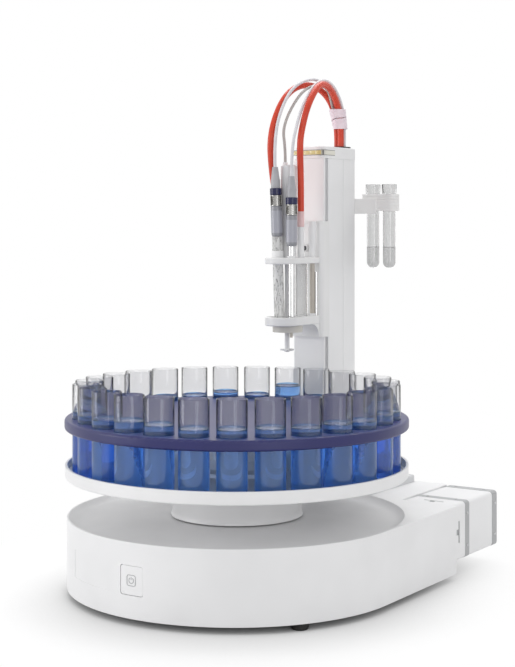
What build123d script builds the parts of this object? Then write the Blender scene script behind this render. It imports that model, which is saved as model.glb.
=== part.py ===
from build123d import *
import math
import os

os.makedirs("parts", exist_ok=True)

# Lengths are in mm, angles in degrees. The model is built with the turntable
# axis at x = y = 0, its front along -Y and the feet on z = 0. Each piece is
# saved with the middle of the whole object's outline at the origin.

# Gaps between pieces
moving_gap = 0.3
seat_gap = 0.2
running_fit = 0.05

# Base housing
base_radius = 173.0
foot_height = 7.0
housing_height = 71.0
wall = 3.0
rear_corner = 9.0
bay_corner = 2.0
bay_width = 65.8
bay_length = 109.5
deck_edge = 1.2

# Dished pan in the deck
rim_width = 2.0
pan_depth = 6.0
pan_edge_width = 16.0
pan_rise = 4.0

# Bottom sheet, feet and screws
sheet = 2.0
foot_radius = 7.9
foot_edge = 1.0
foot_inset = 10.04
foot_turn = 34.5
foot_rear_side = 38.7
foot_rear_inset = 25.0
foot_bay_side = 22.2
screw_head_radius = 3.0
screw_head_height = 1.6
screw_inset = 12.0

# Turntable
hub_radius = 66.0
hub_flare = 1.6
hub_flare_height = 5.0
hub_clearance = 1.2
hub_height = 39.7
hub_wall = 4.0
hub_boss_radius = 20.0
spindle_radius = 10.0
spindle_floor_gap = 6.0
tray_inset = 0.4
tray_height = 12.7
tray_floor = 3.0
tray_rim = 2.6
tray_step_height = 2.0
plate_gap = 48.7
plate_rim = 7.74
plate_thickness = 10.6
plate_edge_round = 2.6
tube_count = 27
tube_gap = 6.338
tube_radius = 14.6
tube_wall = 1.2
tube_base = 1.8
tube_foot_round = 1.6
tube_length = 91.3
hole_gap = 0.4
post_radius = 24.0
post_wall = 4.0
post_flange_radius = 52.0
post_flange = 4.0
post_root = 8.0

# Turntable drive below the deck
bearing_outer = 17.0
bearing_height = 9.0
bearing_boss = 4.0
drive_pulley_radius = 45.0
drive_pulley_height = 9.0
drive_flange = 2.0
drive_flange_thickness = 1.2
belt_thickness = 1.6
belt_side_gap = 0.5
motor_reach = 92.0
motor_bearing = 35.0
motor_pulley_radius = 12.0
motor_shaft_radius = 2.5
motor_width = 42.0
motor_corner = 5.0
motor_belt_gap = 5.0
motor_collar_radius = 11.0
motor_collar_height = 2.0
pulley_boss = 3.0
step_block_width = 46.0

# Power button and label recess on the front wall
button_width = 26.0
button_height = 27.0
button_level = 35.5
button_corner = 2.5
button_depth = 6.0
button_recess = 0.5
button_stroke = 1.2
button_slot_gap = 0.4
switch_depth = 12.0
switch_width = 18.0
label_recess = 0.5
label_turn = -20.5
label_sweep = 22.0
label_height = 27.0

# Control board and rear sockets
board_length = 96.0
board_width = 70.0
board_thickness = 1.6
board_inset = 68.0
board_rear_inset = 145.0
spacer_height = 8.0
spacer_radius = 3.5
chip_width = 14.0
chip_height = 2.2
block_width = 11.0
block_height = 12.0
inlet_width = 30.0
inlet_height = 24.0
inlet_depth = 22.0
inlet_lip = 3.0
inlet_lip_thickness = 2.0
inlet_well = 16.0
pin_radius = 1.6
inlet_inset = 38.0
inlet_level = 30.0
jack_width = 14.0
jack_height = 11.0
jack_inset = 83.0

# Tower
station_side = -34.0
column_width = 41.2
panel_rear_gap = 6.1
column_wall = 3.0
column_slot = 16.0
column_depth = 33.5
cover_depth = 27.4
seam_gap = 0.3
tower_back_gap = 0.3
plinth_height = 7.8
plinth_half = 102.0
plinth_front_gap = 4.0
plinth_rear_inset = 3.0
plinth_corner = 8.0
lip_level = 441.5
cap_level = 455.2
panel_width = 40.8
tower_gap = 19.0
panel_thickness = 3.0
panel_edge = 1.2
cap_overhang = 1.6
cap_front_round = 9.0
cap_top_edge = 1.0
light_level = 445.0
light_height = 6.2
light_reach = 26.2
light_thickness = 2.4
light_round = 2.6
entry_side = 9.0
entry_rear_inset = 14.7
entry_width = 20.0
entry_depth = 21.0
entry_corner = 5.0
entry_well = 9.0
grommet_wall = 1.4
grommet_lip = 1.6

# Lift
screw_radius = 4.0
screw_inset_back = 20.5
rod_radius = 4.0
rod_spread = 11.5
rod_seat = 3.0
thrust_outer = 7.0
thrust_height = 6.0
coupling_radius = 7.0
coupling_height = 14.0
slider_width = 33.4
slider_inset = 4.5
slider_depth = 25.0
slider_height = 76.0
slider_rise = 30.0
nut_outer = 6.6
nut_flange = 7.0
nut_flange_height = 3.0

# Carriage
carriage_width = 44.8
carriage_reach = 8.4
carriage_rear_gap = 0.7
carriage_round = 6.5
carriage_bottom = 237.7
carriage_top = 369.6
pocket_depth = 4.0
pocket_side = 4.0
pocket_top = 2.2
panel_clear = 0.3
neck_width = 13.0

# Arms
arm_half = 19.4
arm_reach = 11.23
upper_arm_level = 321.7
upper_arm_thickness = 7.0
lower_arm_level = 253.0
lower_arm_thickness = 9.6
arm_edge = 0.8
arm_dish_depth = 1.6
arm_dish_wall = 2.2
arm_dish_radius = 16.6
gusset_reach = 15.0
cup_radius = 16.9
cup_inner = 15.7
cup_height = 7.8
cup_ceiling = 1.8

# Sensors
sensor_a_x = -6.2
sensor_a_y = -6.6
sensor_a_lean = 1.7
sensor_a_bearing = 213.8
sensor_b_x = 9.2
sensor_b_y = -6.2
glass_radius = 5.9
steel_radius = 3.6
shaft_end_gap = 0.1
sensor_a_body_rise = 23.5
sensor_b_body_rise = 12.9
body_radius = 6.3
body_taper = 0.8
body_taper_height = 2.4
body_height = 34.1
knurl_radius = 6.4
knurl_height = 11.6
knurl_count = 18
knurl_cut = 0.45
knurl_gap = 1.0
knurl_neck = 5.4
ring_radius = 6.6
ring_height = 7.5
collar_radius = 5.3
collar_height = 9.8
boot_foot_radius = 4.9
boot_top_radius = 3.2
boot_height = 14.0
seat_radius = 6.4
seat_height = 7.5
seat_b_radius = 5.4

# Stirrer
stirrer_x = -2.4
stirrer_y = 2.6
stirrer_radius = 2.7
stirrer_drop = 36.0
blade_count = 3
blade_reach = 8.8
blade_width = 4.6
blade_thickness = 1.2
blade_pitch = 18.0
blade_turn = 64.0
blade_hub_radius = 3.0
blade_hub_height = 4.0
motor_x = -2.5
motor_y = 6.2
gearbox_radius = 8.3
gearbox_height = 52.0
drive_can_radius = 9.0
drive_can_height = 51.0
drive_cap_radius = 7.4
drive_cap_height = 1.2
gland_radius = 2.6
gland_height = 3.0
gland_x = -4.2
gland_y = -0.6
bush_height = 3.2

# Hose fittings, sleeve, spray nozzle and rods on the head
hose_b_x = 8.6
hose_b_y = 14.2
hose_a_x = -15.0
hose_a_y = 2.2
fitting_radius = 3.7
fitting_height = 34.3
fitting_a_height = 20.0
hose_cap_radius = 3.9
hose_cap_height = 17.4
sleeve_radius = 7.4
sleeve_wall = 1.4
nozzle_x = 13.3
nozzle_y = 30.8
nozzle_top_radius = 4.5
nozzle_foot_radius = 3.3
nozzle_height = 31.1
nozzle_cap = 9.3
nozzle_cap_radius = 4.6
nozzle_rod_radius = 2.8
nozzle_foot_height = 2.4
nozzle_foot_width = 3.4
rinse_x = 16.3
rinse_y = 34.4
rinse_radius = 1.7
rinse_short = 9.7
tip_x = 4.6
tip_y = 0.2
tip_radius = 1.7
tip_drop = 6.2
knob_level = 10.0
knob_radius = 2.6
knob_length = 6.4
knob_ring_radius = 3.6
knob_ring = 1.6
knob_side = -0.5

# Tube holder behind the tower
holder_width = 47.0
holder_gap_side = 4.5
holder_level = 381.7
holder_height = 19.4
holder_depth = 18.0
holder_groove = 0.5
groove_count = 5
bracket_thickness = 2.4
bracket_side = 12.0
bracket_drop = 3.4
bracket_height = 17.5
bracket_tab = 6.0
test_pitch = 21.6
test_first = 13.4
test_radius = 7.4
test_wall = 0.9
test_length = 98.4
test_rim = 1.3
test_gap = 0.35
test_rise = 11.4

# Pump unit in the bay
pump_size = 60.0
pump_gap = 0.3
pump_drop = 0.8
pump_head_length = 29.6
band_thickness = 10.2
band_grow = 0.4
pump_body_length = 57.9
rear_band_thickness = 12.1
pump_round = 4.0
grip_depth = 1.2
grip_length = 23.4
grip_width = 3.0
grip_stem = 6.6
grip_inset = 15.2
band_screw_radius = 1.6
band_screw_height = 0.5
band_screw_spread = 17.0
race_radius = 24.0
race_front = 3.4
roller_radius = 5.0
roller_length = 14.0
rotor_radius = 17.5
rotor_plate = 2.4
rotor_shaft = 3.0
roller_count = 3
roller_gap = 0.35
pump_tube_radius = 2.0
shaft_depth = 6.0

# Hoses and cables
hose_radius = 3.65
cable_radius = 1.75
stirrer_cable_radius = 1.6
wrap_sheet = 1.1
wrap_turn = 33.8
wrap_corner = 4.2
wrap_low = (-24.7, 249.7, 484.5)
wrap_low_width = 14.3
wrap_low_depth = 20.3
wrap_high = (-26.0, 244.8, 507.5)
wrap_high_width = 17.2
wrap_high_depth = 19.4

# Routes of the hoses and cables, from the head to the tower's top
hose_right_route = [
    (-25.4, 163.4, 387.4),
    (-25.4, 163.4, 422.4),
    (-23.0, 157.5, 458.0),
    (-22.5, 159.0, 476.5),
    (-15.5, 163.5, 510.0),
    (-18.5, 197.5, 538.5),
    (-23.5, 238.5, 522.0),
    (-20.5, 246.0, 478.5),
    (-22.9, 245.4, 454.1),
]
hose_left_route = [
    (-49.0, 151.4, 373.1),
    (-49.0, 151.4, 398.1),
    (-53.5, 147.0, 428.0),
    (-53.5, 141.5, 476.5),
    (-46.5, 164.5, 523.5),
    (-38.5, 204.0, 537.0),
    (-33.5, 241.5, 521.5),
    (-30.5, 254.5, 486.0),
    (-29.3, 249.8, 454.1),
]
cable_left_route = [
    (-44.61, 139.65, 437.12),
    (-45.25, 139.22, 463.11),
    (-44.0, 146.5, 496.5),
    (-40.5, 167.5, 528.0),
    (-35.0, 197.5, 541.0),
    (-34.5, 227.5, 539.0),
    (-24.5, 246.0, 511.5),
    (-25.5, 258.0, 482.5),
    (-27.8, 256.0, 454.1),
]
cable_stirrer_route = [
    (-40.7, 154.8, 442.9),
    (-40.7, 154.8, 457.9),
    (-41.5, 150.0, 484.0),
    (-36.0, 178.0, 523.0),
    (-28.5, 200.5, 534.0),
    (-27.5, 226.7, 531.6),
    (-29.9, 240.7, 508.3),
    (-24.2, 251.3, 481.7),
    (-23.0, 256.3, 454.1),
]
cable_right_route = [
    (-24.8, 143.0, 426.6),
    (-24.8, 143.0, 457.6),
    (-24.5, 154.5, 487.0),
    (-23.5, 166.0, 510.0),
    (-25.0, 196.0, 537.0),
    (-22.0, 222.0, 540.0),
    (-21.5, 248.0, 516.5),
    (-19.0, 251.0, 482.0),
    (-20.9, 251.9, 454.1),
]

# Shares and angles of shapes
half_share = 0.5
cord_share = 0.45

# Levels and places that follow from the sizes above
tube_circle = (tube_radius + tube_gap / 2) / math.sin(math.pi / tube_count)
plate_radius = tube_circle + tube_radius + plate_rim
tray_radius = plate_radius - tray_inset
panel_front = plate_radius + tower_gap
panel_back = panel_front + panel_thickness
column_front = panel_back + panel_rear_gap
seam_back = column_front + column_depth
cover_front = seam_back + seam_gap
column_rear = cover_front + cover_depth
base_rear = column_rear + tower_back_gap
bay_left = base_radius - bay_width
bay_front = base_rear - bay_length
screw_back = column_front + screw_inset_back
slider_front = column_front + slider_inset
slider_back = slider_front + slider_depth
carriage_front = panel_front - carriage_reach
board_side = board_inset - base_radius
board_back = base_rear - board_rear_inset
inlet_side = inlet_inset - base_radius
jack_side = jack_inset - base_radius
housing_bottom = foot_height
deck = foot_height + housing_height
pan_radius = base_radius - rim_width
cavity_top = deck - pan_depth - wall
sheet_top = housing_bottom + sheet
tray_bottom = deck + hub_height
hub_bottom = deck - pan_depth + pan_rise + hub_clearance
tube_bottom = tray_bottom + tray_floor
plate_bottom = tray_bottom + plate_gap
tube_top = tube_bottom + tube_length
station_back = math.sqrt(tube_circle**2 - station_side**2)
station_turn = math.degrees(math.atan2(station_back, station_side))
arm_tip_back = station_back - arm_reach
plinth_top = deck + plinth_height
lip = foot_height + lip_level
tower_top = foot_height + cap_level
upper_arm_bottom = foot_height + upper_arm_level
upper_arm_top = upper_arm_bottom + upper_arm_thickness
lower_arm_bottom = foot_height + lower_arm_level
lower_arm_top = lower_arm_bottom + lower_arm_thickness
cup_top = lower_arm_bottom
pump_left = bay_left + pump_gap
pump_right = pump_left + pump_size
pump_top = deck - pump_drop
pump_bottom = pump_top - pump_size
pump_x = (pump_left + pump_right) / 2
pump_z = (pump_top + pump_bottom) / 2
pump_front = bay_front + pump_gap
pump_head_rear = pump_front + pump_head_length
grip_back = pump_front + grip_inset
holder_left = station_side + column_width / 2 + holder_gap_side
bracket_left = station_side - bracket_side
holder_front = column_rear + bracket_thickness
holder_back = holder_front + holder_depth
origin_back = (holder_back - plate_radius) / 2


def keep(name, *solids):
    moved = [Pos(0, -origin_back, 0) * solid for solid in solids]
    shape = moved[0] if len(moved) == 1 else Compound(children=moved)
    export_step(shape, f"parts/{name}.step")


def turned(points, x=0.0, y=0.0):
    outline = Polyline(*[(r, 0, z) for r, z in points], close=True)
    return Pos(x, y, 0) * revolve(make_face(outline), Axis.Z)


def rod(radius, low, high, x=0.0, y=0.0):
    return Pos(x, y, low) * extrude(Circle(radius), high - low)


def pipe(outer, inner, low, high, x=0.0, y=0.0):
    return rod(outer, low, high, x, y) - rod(inner, low, high, x, y)


def block(x_low, x_high, y_low, y_high, low, high):
    size = Box(x_high - x_low, y_high - y_low, high - low)
    return Pos((x_low + x_high) / 2, (y_low + y_high) / 2, (low + high) / 2) * size


def rounded(width, depth, radius, low, high, x=0.0, y=0.0):
    outline = RectangleRounded(width, depth, radius)
    return Pos(x, y, low) * extrude(outline, high - low)


def rod_y(radius, y_low, y_high, x, z):
    place = Location((x, y_low, z), (-90, 0, 0))
    return place * extrude(Circle(radius), y_high - y_low)


def round_upright(shape, radius, picks):
    edges = [e for e in shape.edges().filter_by(Axis.Z) if picks(e.center())]
    return fillet(edges, radius)


# Base housing: a half round front and a square rear with the pump bay cut out
def base_outline(inset):
    front = Circle(base_radius - inset)
    rear_length = base_rear - inset
    width = 2 * (base_radius - inset)
    rear = Pos(0, rear_length / 2) * Rectangle(width, rear_length)
    bay_width = base_radius - bay_left + inset
    bay_depth = base_rear - bay_front + inset
    bay_x = base_radius - bay_width / 2
    bay_y = base_rear - bay_depth / 2
    outline = front + rear - Pos(bay_x, bay_y) * Rectangle(bay_width, bay_depth)
    corners = outline.vertices()
    back_left = corners.filter_by(lambda v: v.X < 0 and v.Y > bay_front)
    outline = fillet(back_left, max(rear_corner - inset, bay_corner))
    back_right = outline.vertices().filter_by(
        lambda v: 0 < v.X < base_radius - inset - bay_corner and v.Y > base_rear - inset - bay_corner
    )
    outline = fillet(back_right, bay_corner)
    wall_end = outline.vertices().filter_by(
        lambda v: v.X > base_radius - inset - bay_corner and v.Y > bay_front / 2
    )
    return fillet(wall_end, bay_corner)


def pan_cut():
    floor = deck - pan_depth
    inner = hub_radius
    edge = pan_radius - pan_edge_width
    rim = (pan_radius, 0, deck)
    knee = (edge, 0, floor)
    mid_x = pan_radius - pan_edge_width * (1 - math.sin(math.radians(45)))
    mid_z = deck - pan_depth * math.sin(math.radians(45))
    wall_arc = ThreePointArc(rim, (mid_x, 0, mid_z), knee)
    rest = Polyline(
        knee,
        (inner, 0, floor + pan_rise),
        (0, 0, floor + pan_rise),
        (0, 0, deck),
        rim,
    )
    return revolve(make_face(wall_arc + rest), Axis.Z)


outer_shell = extrude(Pos(0, 0, housing_bottom) * base_outline(0), housing_height)
top_edges = outer_shell.edges().filter_by(lambda e: e.center().Z > deck - sheet)
outer_shell = chamfer(top_edges, deck_edge / 2)
cavity = extrude(
    Pos(0, 0, housing_bottom) * base_outline(wall), cavity_top - housing_bottom
)
boss_low = cavity_top - bearing_height
bearing_seat_top = cavity_top
boss = rod(bearing_outer + bearing_boss, boss_low, cavity_top)
housing = outer_shell - pan_cut() - cavity + boss
housing -= rod(spindle_radius + sheet, boss_low, deck)
housing -= rod(bearing_outer, boss_low, bearing_seat_top)

# Openings in the walls: power button, label recess, rear sockets
button_z = foot_height + button_level
slot_width = button_width + 2 * button_slot_gap
slot_height = button_height + 2 * button_slot_gap


def front_block(width, height, corner, level):
    outline = RectangleRounded(width, height, corner)
    place = Location((0, 0, level), (90, 0, 0))
    return place * extrude(outline, base_radius + wall)


housing -= front_block(slot_width, slot_height, button_corner, button_z) - rod(
    base_radius - 2 * wall, housing_bottom, deck
)
label_ring = pipe(
    base_radius + wall,
    base_radius - label_recess,
    button_z - label_height / 2,
    button_z + label_height / 2,
)
label_wedge = extrude(
    make_face(
        Polyline(
            (0, 0),
            (
                2 * base_radius * math.sin(math.radians(label_turn - label_sweep / 2)),
                -2 * base_radius * math.cos(math.radians(label_turn - label_sweep / 2)),
            ),
            (
                2 * base_radius * math.sin(math.radians(label_turn + label_sweep / 2)),
                -2 * base_radius * math.cos(math.radians(label_turn + label_sweep / 2)),
            ),
            close=True,
        )
    ),
    deck,
)
housing -= label_ring & label_wedge
inlet_z = foot_height + inlet_level
socket_low = base_rear - 2 * wall
housing -= block(
    inlet_side - inlet_width / 2,
    inlet_side + inlet_width / 2,
    socket_low,
    base_rear + wall,
    inlet_z - inlet_height / 2,
    inlet_z + inlet_height / 2,
)
jack_xs = [jack_side]
for jack_x in jack_xs:
    housing -= block(
        jack_x - jack_width / 2,
        jack_x + jack_width / 2,
        socket_low,
        base_rear + wall,
        inlet_z - jack_height / 2,
        inlet_z + jack_height / 2,
    )
# Passage from the base up into the tower
housing -= rod(thrust_outer + seat_gap, cavity_top, deck, station_side, screw_back)
keep("base_housing", housing)

# Bottom sheet with feet and screws
plate_inset = wall + moving_gap
base_sheet = extrude(Pos(0, 0, housing_bottom) * base_outline(plate_inset), sheet)
foot_side = (base_radius - foot_inset) * math.cos(math.radians(foot_turn))
foot_front = (base_radius - foot_inset) * math.sin(math.radians(foot_turn))
foot_rear = base_rear - foot_rear_inset
foot_spots = [
    (-foot_side, -foot_front),
    (foot_side, -foot_front),
    (foot_rear_side - base_radius, foot_rear),
    (bay_left - foot_bay_side, foot_rear),
]
screw_turns = [0, 60, 120, 240, 300]
screw_reach = base_radius - wall - screw_inset
screw_spots = [
    (screw_reach * math.sin(math.radians(t)), -screw_reach * math.cos(math.radians(t)))
    for t in screw_turns
]
keep("base_sheet", base_sheet)
feet = [
    turned(
        [
            (0, 0),
            (foot_radius - foot_edge, 0),
            (foot_radius, foot_edge),
            (foot_radius, foot_height),
            (0, foot_height),
        ],
        x,
        y,
    )
    for x, y in foot_spots
]
keep("rubber_feet", *feet)
screws = [
    rod(screw_head_radius, housing_bottom - screw_head_height, housing_bottom, x, y)
    for x, y in screw_spots
]

# Hub and spindle of the turntable
hub_outer = [
    (0, tray_bottom),
    (hub_radius, tray_bottom),
    (hub_radius, hub_bottom + hub_flare_height),
    (hub_radius + hub_flare, hub_bottom),
    (hub_radius + hub_flare - hub_wall, hub_bottom),
    (hub_radius - hub_wall, hub_bottom + hub_flare_height),
    (hub_radius - hub_wall, tray_bottom - hub_wall),
    (hub_boss_radius, tray_bottom - hub_wall),
    (hub_boss_radius, hub_bottom),
    (spindle_radius, hub_bottom),
    (spindle_radius, sheet_top + spindle_floor_gap),
    (0, sheet_top + spindle_floor_gap),
]
keep("turntable_hub", turned(hub_outer))

tray_top = tray_bottom + tray_height
tray_inner = tray_radius - tray_rim
tray = turned(
    [
        (0, tray_bottom),
        (tray_radius - tray_rim / 2, tray_bottom),
        (tray_radius, tray_bottom + tray_rim / 2),
        (tray_radius, tray_top),
        (tray_inner, tray_top),
        (tray_inner, tube_bottom + tray_step_height),
        (tray_inner - tray_rim, tube_bottom + tray_step_height),
        (tray_inner - tray_rim, tube_bottom),
        (0, tube_bottom),
    ]
)
keep("rack_tray", tray)

# Blue rack plate with a round hole for each tube
pitch = 360 / tube_count
tube_turns = [station_turn + pitch * k for k in range(tube_count)]


def on_circle(turn):
    t = math.radians(turn)
    return tube_circle * math.cos(t), tube_circle * math.sin(t)


plate = extrude(Pos(0, 0, plate_bottom) * Circle(plate_radius), plate_thickness)
plate = fillet(plate.edges(), plate_edge_round)
hole = extrude(Circle(tube_radius + hole_gap), plate_thickness)
holes = [Pos(*on_circle(t), plate_bottom) * hole for t in tube_turns]
plate -= holes
keep("rack_plate", plate)

post = turned(
    [
        (post_radius - post_wall, tube_bottom),
        (post_flange_radius, tube_bottom),
        (post_flange_radius, tube_bottom + post_flange),
        (post_radius + post_root, tube_bottom + post_flange),
        (post_radius, tube_bottom + post_flange + post_root),
        (post_radius, plate_bottom - post_flange - post_root),
        (post_radius + post_root, plate_bottom - post_flange),
        (post_flange_radius, plate_bottom - post_flange),
        (post_flange_radius, plate_bottom),
        (post_radius - post_wall, plate_bottom),
    ]
)
keep("rack_post", post)

# Flat bottomed sample tubes, one of them a body of its own
tube_inner = tube_radius - tube_wall
sample_tube = turned(
    [
        (0, tube_bottom),
        (tube_radius - tube_foot_round, tube_bottom),
        (tube_radius, tube_bottom + tube_foot_round),
        (tube_radius, tube_top),
        (tube_inner, tube_top),
        (tube_inner, tube_bottom + tube_base),
        (0, tube_bottom + tube_base),
    ]
)
front_index = 15
spots = [on_circle(t) for t in tube_turns]
fixed = [
    Pos(*spot, 0) * sample_tube for k, spot in enumerate(spots) if k != front_index
]
keep("sample_tubes", *fixed)
loose_tube = Pos(*spots[front_index], moving_gap) * sample_tube
keep("sample_tube_loose", loose_tube)

# Turntable bearing, pulleys, belt and motor
bearing = pipe(
    bearing_outer,
    spindle_radius + running_fit,
    boss_low,
    bearing_seat_top,
)
step_top = sheet_top + spindle_floor_gap + bearing_height
step_block = rounded(
    step_block_width, step_block_width, motor_corner, sheet_top, step_top
)
step_block -= rod(
    spindle_radius + running_fit, sheet_top + spindle_floor_gap - moving_gap, step_top
)

belt_level = boss_low - pulley_boss - drive_pulley_height
belt_top = belt_level + drive_pulley_height
flange_low = belt_level + drive_flange_thickness
flange_high = belt_top - drive_flange_thickness


def pulley(radius, bore, x=0.0, y=0.0):
    return turned(
        [
            (bore, belt_level),
            (radius + drive_flange, belt_level),
            (radius + drive_flange, flange_low),
            (radius, flange_low),
            (radius, flange_high),
            (radius + drive_flange, flange_high),
            (radius + drive_flange, belt_top),
            (bore, belt_top),
        ],
        x,
        y,
    )


keep("drive_pulley", pulley(drive_pulley_radius, spindle_radius))
motor_at = (
    motor_reach * math.cos(math.radians(motor_bearing)),
    motor_reach * math.sin(math.radians(motor_bearing)),
)
belt_low = flange_low + belt_side_gap
belt_high = flange_high - belt_side_gap


def belt_face(extra):
    big = Circle(drive_pulley_radius + extra)
    small = Pos(*motor_at) * Circle(motor_pulley_radius + extra)
    return make_hull(big.edges() + small.edges())


belt = extrude(Pos(0, 0, belt_low) * belt_face(moving_gap + belt_thickness), belt_high - belt_low)
belt -= extrude(Pos(0, 0, belt_low) * belt_face(moving_gap), belt_high - belt_low)
keep("drive_belt", belt)

motor_top = belt_level - motor_belt_gap
shaft_top = belt_top + pulley_boss
turn_motor = rounded(
    motor_width, motor_width, motor_corner, sheet_top, motor_top, *motor_at
)
turn_motor += rod(
    motor_collar_radius, motor_top, motor_top + motor_collar_height, *motor_at
)
shaft_pocket = rod(
    motor_shaft_radius + running_fit,
    motor_top - motor_collar_height,
    motor_top + motor_collar_height,
    *motor_at,
)
turn_motor -= shaft_pocket
motor_shaft = rod(
    motor_shaft_radius, motor_top - motor_collar_height + moving_gap, shaft_top, *motor_at
)
keep("motor_pulley", pulley(motor_pulley_radius, 0, *motor_at) + motor_shaft)

# Control board with its parts and the rear sockets
board_low = sheet_top + spacer_height
board = block(
    board_side - board_width / 2,
    board_side + board_width / 2,
    board_back - board_length / 2,
    board_back + board_length / 2,
    board_low,
    board_low + board_thickness,
)
board_parts = [board]
spacer_dx = board_width / 2 - 2 * spacer_radius
spacer_dy = board_length / 2 - 2 * spacer_radius
for sx in (-1, 1):
    for sy in (-1, 1):
        board_parts.append(
            rod(
                spacer_radius,
                sheet_top,
                board_low,
                board_side + sx * spacer_dx,
                board_back + sy * spacer_dy,
            )
        )
chip_top = board_low + board_thickness + chip_height
for n in (-1, 1):
    board_parts.append(
        block(
            board_side - chip_width / 2,
            board_side + chip_width / 2,
            board_back + n * chip_width * 2 - chip_width / 2,
            board_back + n * chip_width * 2 + chip_width / 2,
            board_low + board_thickness,
            chip_top,
        )
    )
board_parts.append(
    block(
        board_side + chip_width,
        board_side + chip_width + block_width,
        board_back - chip_width * 2,
        board_back + chip_width * 2,
        board_low + board_thickness,
        board_low + board_thickness + block_height,
    )
)
board_whole = board_parts[0]
for piece in board_parts[1:]:
    board_whole += piece
keep("control_board", board_whole)

lip_x = inlet_width / 2 + inlet_lip
lip_z = inlet_height / 2 + inlet_lip
inlet_front = base_rear + inlet_lip_thickness
fit_x = inlet_width / 2 - seat_gap
fit_z = inlet_height / 2 - seat_gap
inlet = block(
    inlet_side - fit_x,
    inlet_side + fit_x,
    inlet_front - inlet_depth,
    inlet_front,
    inlet_z - fit_z,
    inlet_z + fit_z,
)
inlet += block(
    inlet_side - lip_x,
    inlet_side + lip_x,
    base_rear,
    inlet_front,
    inlet_z - lip_z,
    inlet_z + lip_z,
)
inlet -= block(
    inlet_side - fit_x + inlet_lip,
    inlet_side + fit_x - inlet_lip,
    inlet_front - inlet_well,
    inlet_front,
    inlet_z - fit_z + inlet_lip,
    inlet_z + fit_z - inlet_lip,
)
for n in (-1, 0, 1):
    inlet += rod_y(
        pin_radius,
        inlet_front - inlet_well,
        inlet_front - inlet_lip,
        inlet_side + n * pin_radius * 4,
        inlet_z,
    )
jacks = []
for jack_x in jack_xs:
    jack_fit = jack_width / 2 - seat_gap
    jack_rise = jack_height / 2 - seat_gap
    body = block(
        jack_x - jack_fit,
        jack_x + jack_fit,
        base_rear - inlet_well,
        base_rear,
        inlet_z - jack_rise,
        inlet_z + jack_rise,
    )
    body += block(
        jack_x - jack_width / 2 - pin_radius,
        jack_x + jack_width / 2 + pin_radius,
        base_rear,
        base_rear + inlet_lip_thickness / 2,
        inlet_z - jack_height / 2 - pin_radius,
        inlet_z + jack_height / 2 + pin_radius,
    )
    body -= block(
        jack_x - jack_fit + pin_radius,
        jack_x + jack_fit - pin_radius,
        base_rear - inlet_well / 2,
        base_rear + wall,
        inlet_z - jack_rise + pin_radius,
        inlet_z + jack_rise - pin_radius,
    )
    jacks.append(body)

# Power button, curved with the wall, and the switch behind it
button = front_block(button_width, button_height, button_corner, button_z)
button &= pipe(
    base_radius - button_recess,
    base_radius - button_recess - button_depth,
    housing_bottom,
    deck,
)
keep("power_button", button)
switch_front = base_radius - button_recess - button_depth
corner_back = math.sqrt(switch_front**2 - (button_width / 2) ** 2)
switch_face = -(corner_back - button_stroke - 2 * moving_gap)
switch_body = block(
    -switch_width / 2,
    switch_width / 2,
    switch_face,
    switch_face + switch_depth,
    sheet_top,
    button_z + switch_width / 2,
)
keep("switch_and_sockets", switch_body, inlet, *jacks)

# Plinth under the tower
plinth_low_y = pan_radius + plinth_front_gap
plinth_back = base_rear - plinth_rear_inset
plinth_flat = Pos(station_side, plinth_back / 2) * Rectangle(
    2 * plinth_half, plinth_back
)
plinth_flat -= Circle(plinth_low_y)
plinth_flat = fillet(plinth_flat.vertices(), plinth_corner / 2)
plinth = extrude(Pos(0, 0, deck) * plinth_flat, plinth_height)
plinth -= rod(thrust_outer + seat_gap, deck, plinth_top, station_side, screw_back)
plinth = chamfer(plinth.faces().sort_by(Axis.Z)[-1].outer_wire().edges(), deck_edge)
keep("tower_plinth", plinth)

# Column: a channel with a slot in front for the neck of the carriage
column_half = column_width / 2
column_left = station_side - column_half
column_right = station_side + column_half
column = block(column_left, column_right, column_front, seam_back, plinth_top, lip)
column -= block(
    column_left + column_wall,
    column_right - column_wall,
    column_front + column_wall,
    seam_back - column_wall,
    plinth_top,
    lip,
)
column -= block(
    station_side - column_slot / 2,
    station_side + column_slot / 2,
    column_front - column_wall,
    column_front + 2 * column_wall,
    plinth_top,
    lip,
)
keep("tower_column", column)
cover = block(column_left, column_right, cover_front, column_rear, plinth_top, lip)
cover -= block(
    column_left + column_wall,
    column_right - column_wall,
    cover_front - column_wall,
    column_rear - column_wall,
    plinth_top,
    lip,
)
cover = round_upright(cover, column_wall / 2, lambda c: c.Y > column_rear - seat_gap)
keep("tower_rear_cover", cover)

# Front panel in front of the column, held by the plinth and the cap
panel_half = panel_width / 2
panel = block(
    station_side - panel_half,
    station_side + panel_half,
    panel_front,
    panel_back,
    plinth_top,
    lip,
)
panel = round_upright(panel, panel_edge, lambda c: c.Y < panel_front + seat_gap)
keep("tower_front_panel", panel)

# Cap with the groove for the light strip and the hose entry
cap_front = panel_front - cap_overhang
cap = block(column_left, column_right, cap_front, column_rear, lip, tower_top)
cap = round_upright(cap, cap_front_round, lambda c: c.Y < panel_front)
cap = chamfer(cap.faces().sort_by(Axis.Z)[-1].edges(), cap_top_edge)


def light_shape(inset):
    low = foot_height + light_level
    tall = light_height
    shape = block(
        column_left + inset,
        column_right - inset,
        cap_front + inset,
        column_rear,
        low,
        low + tall,
    )
    front = cap_front + inset + seat_gap
    return round_upright(shape, cap_front_round - inset, lambda c: c.Y < front)


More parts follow.
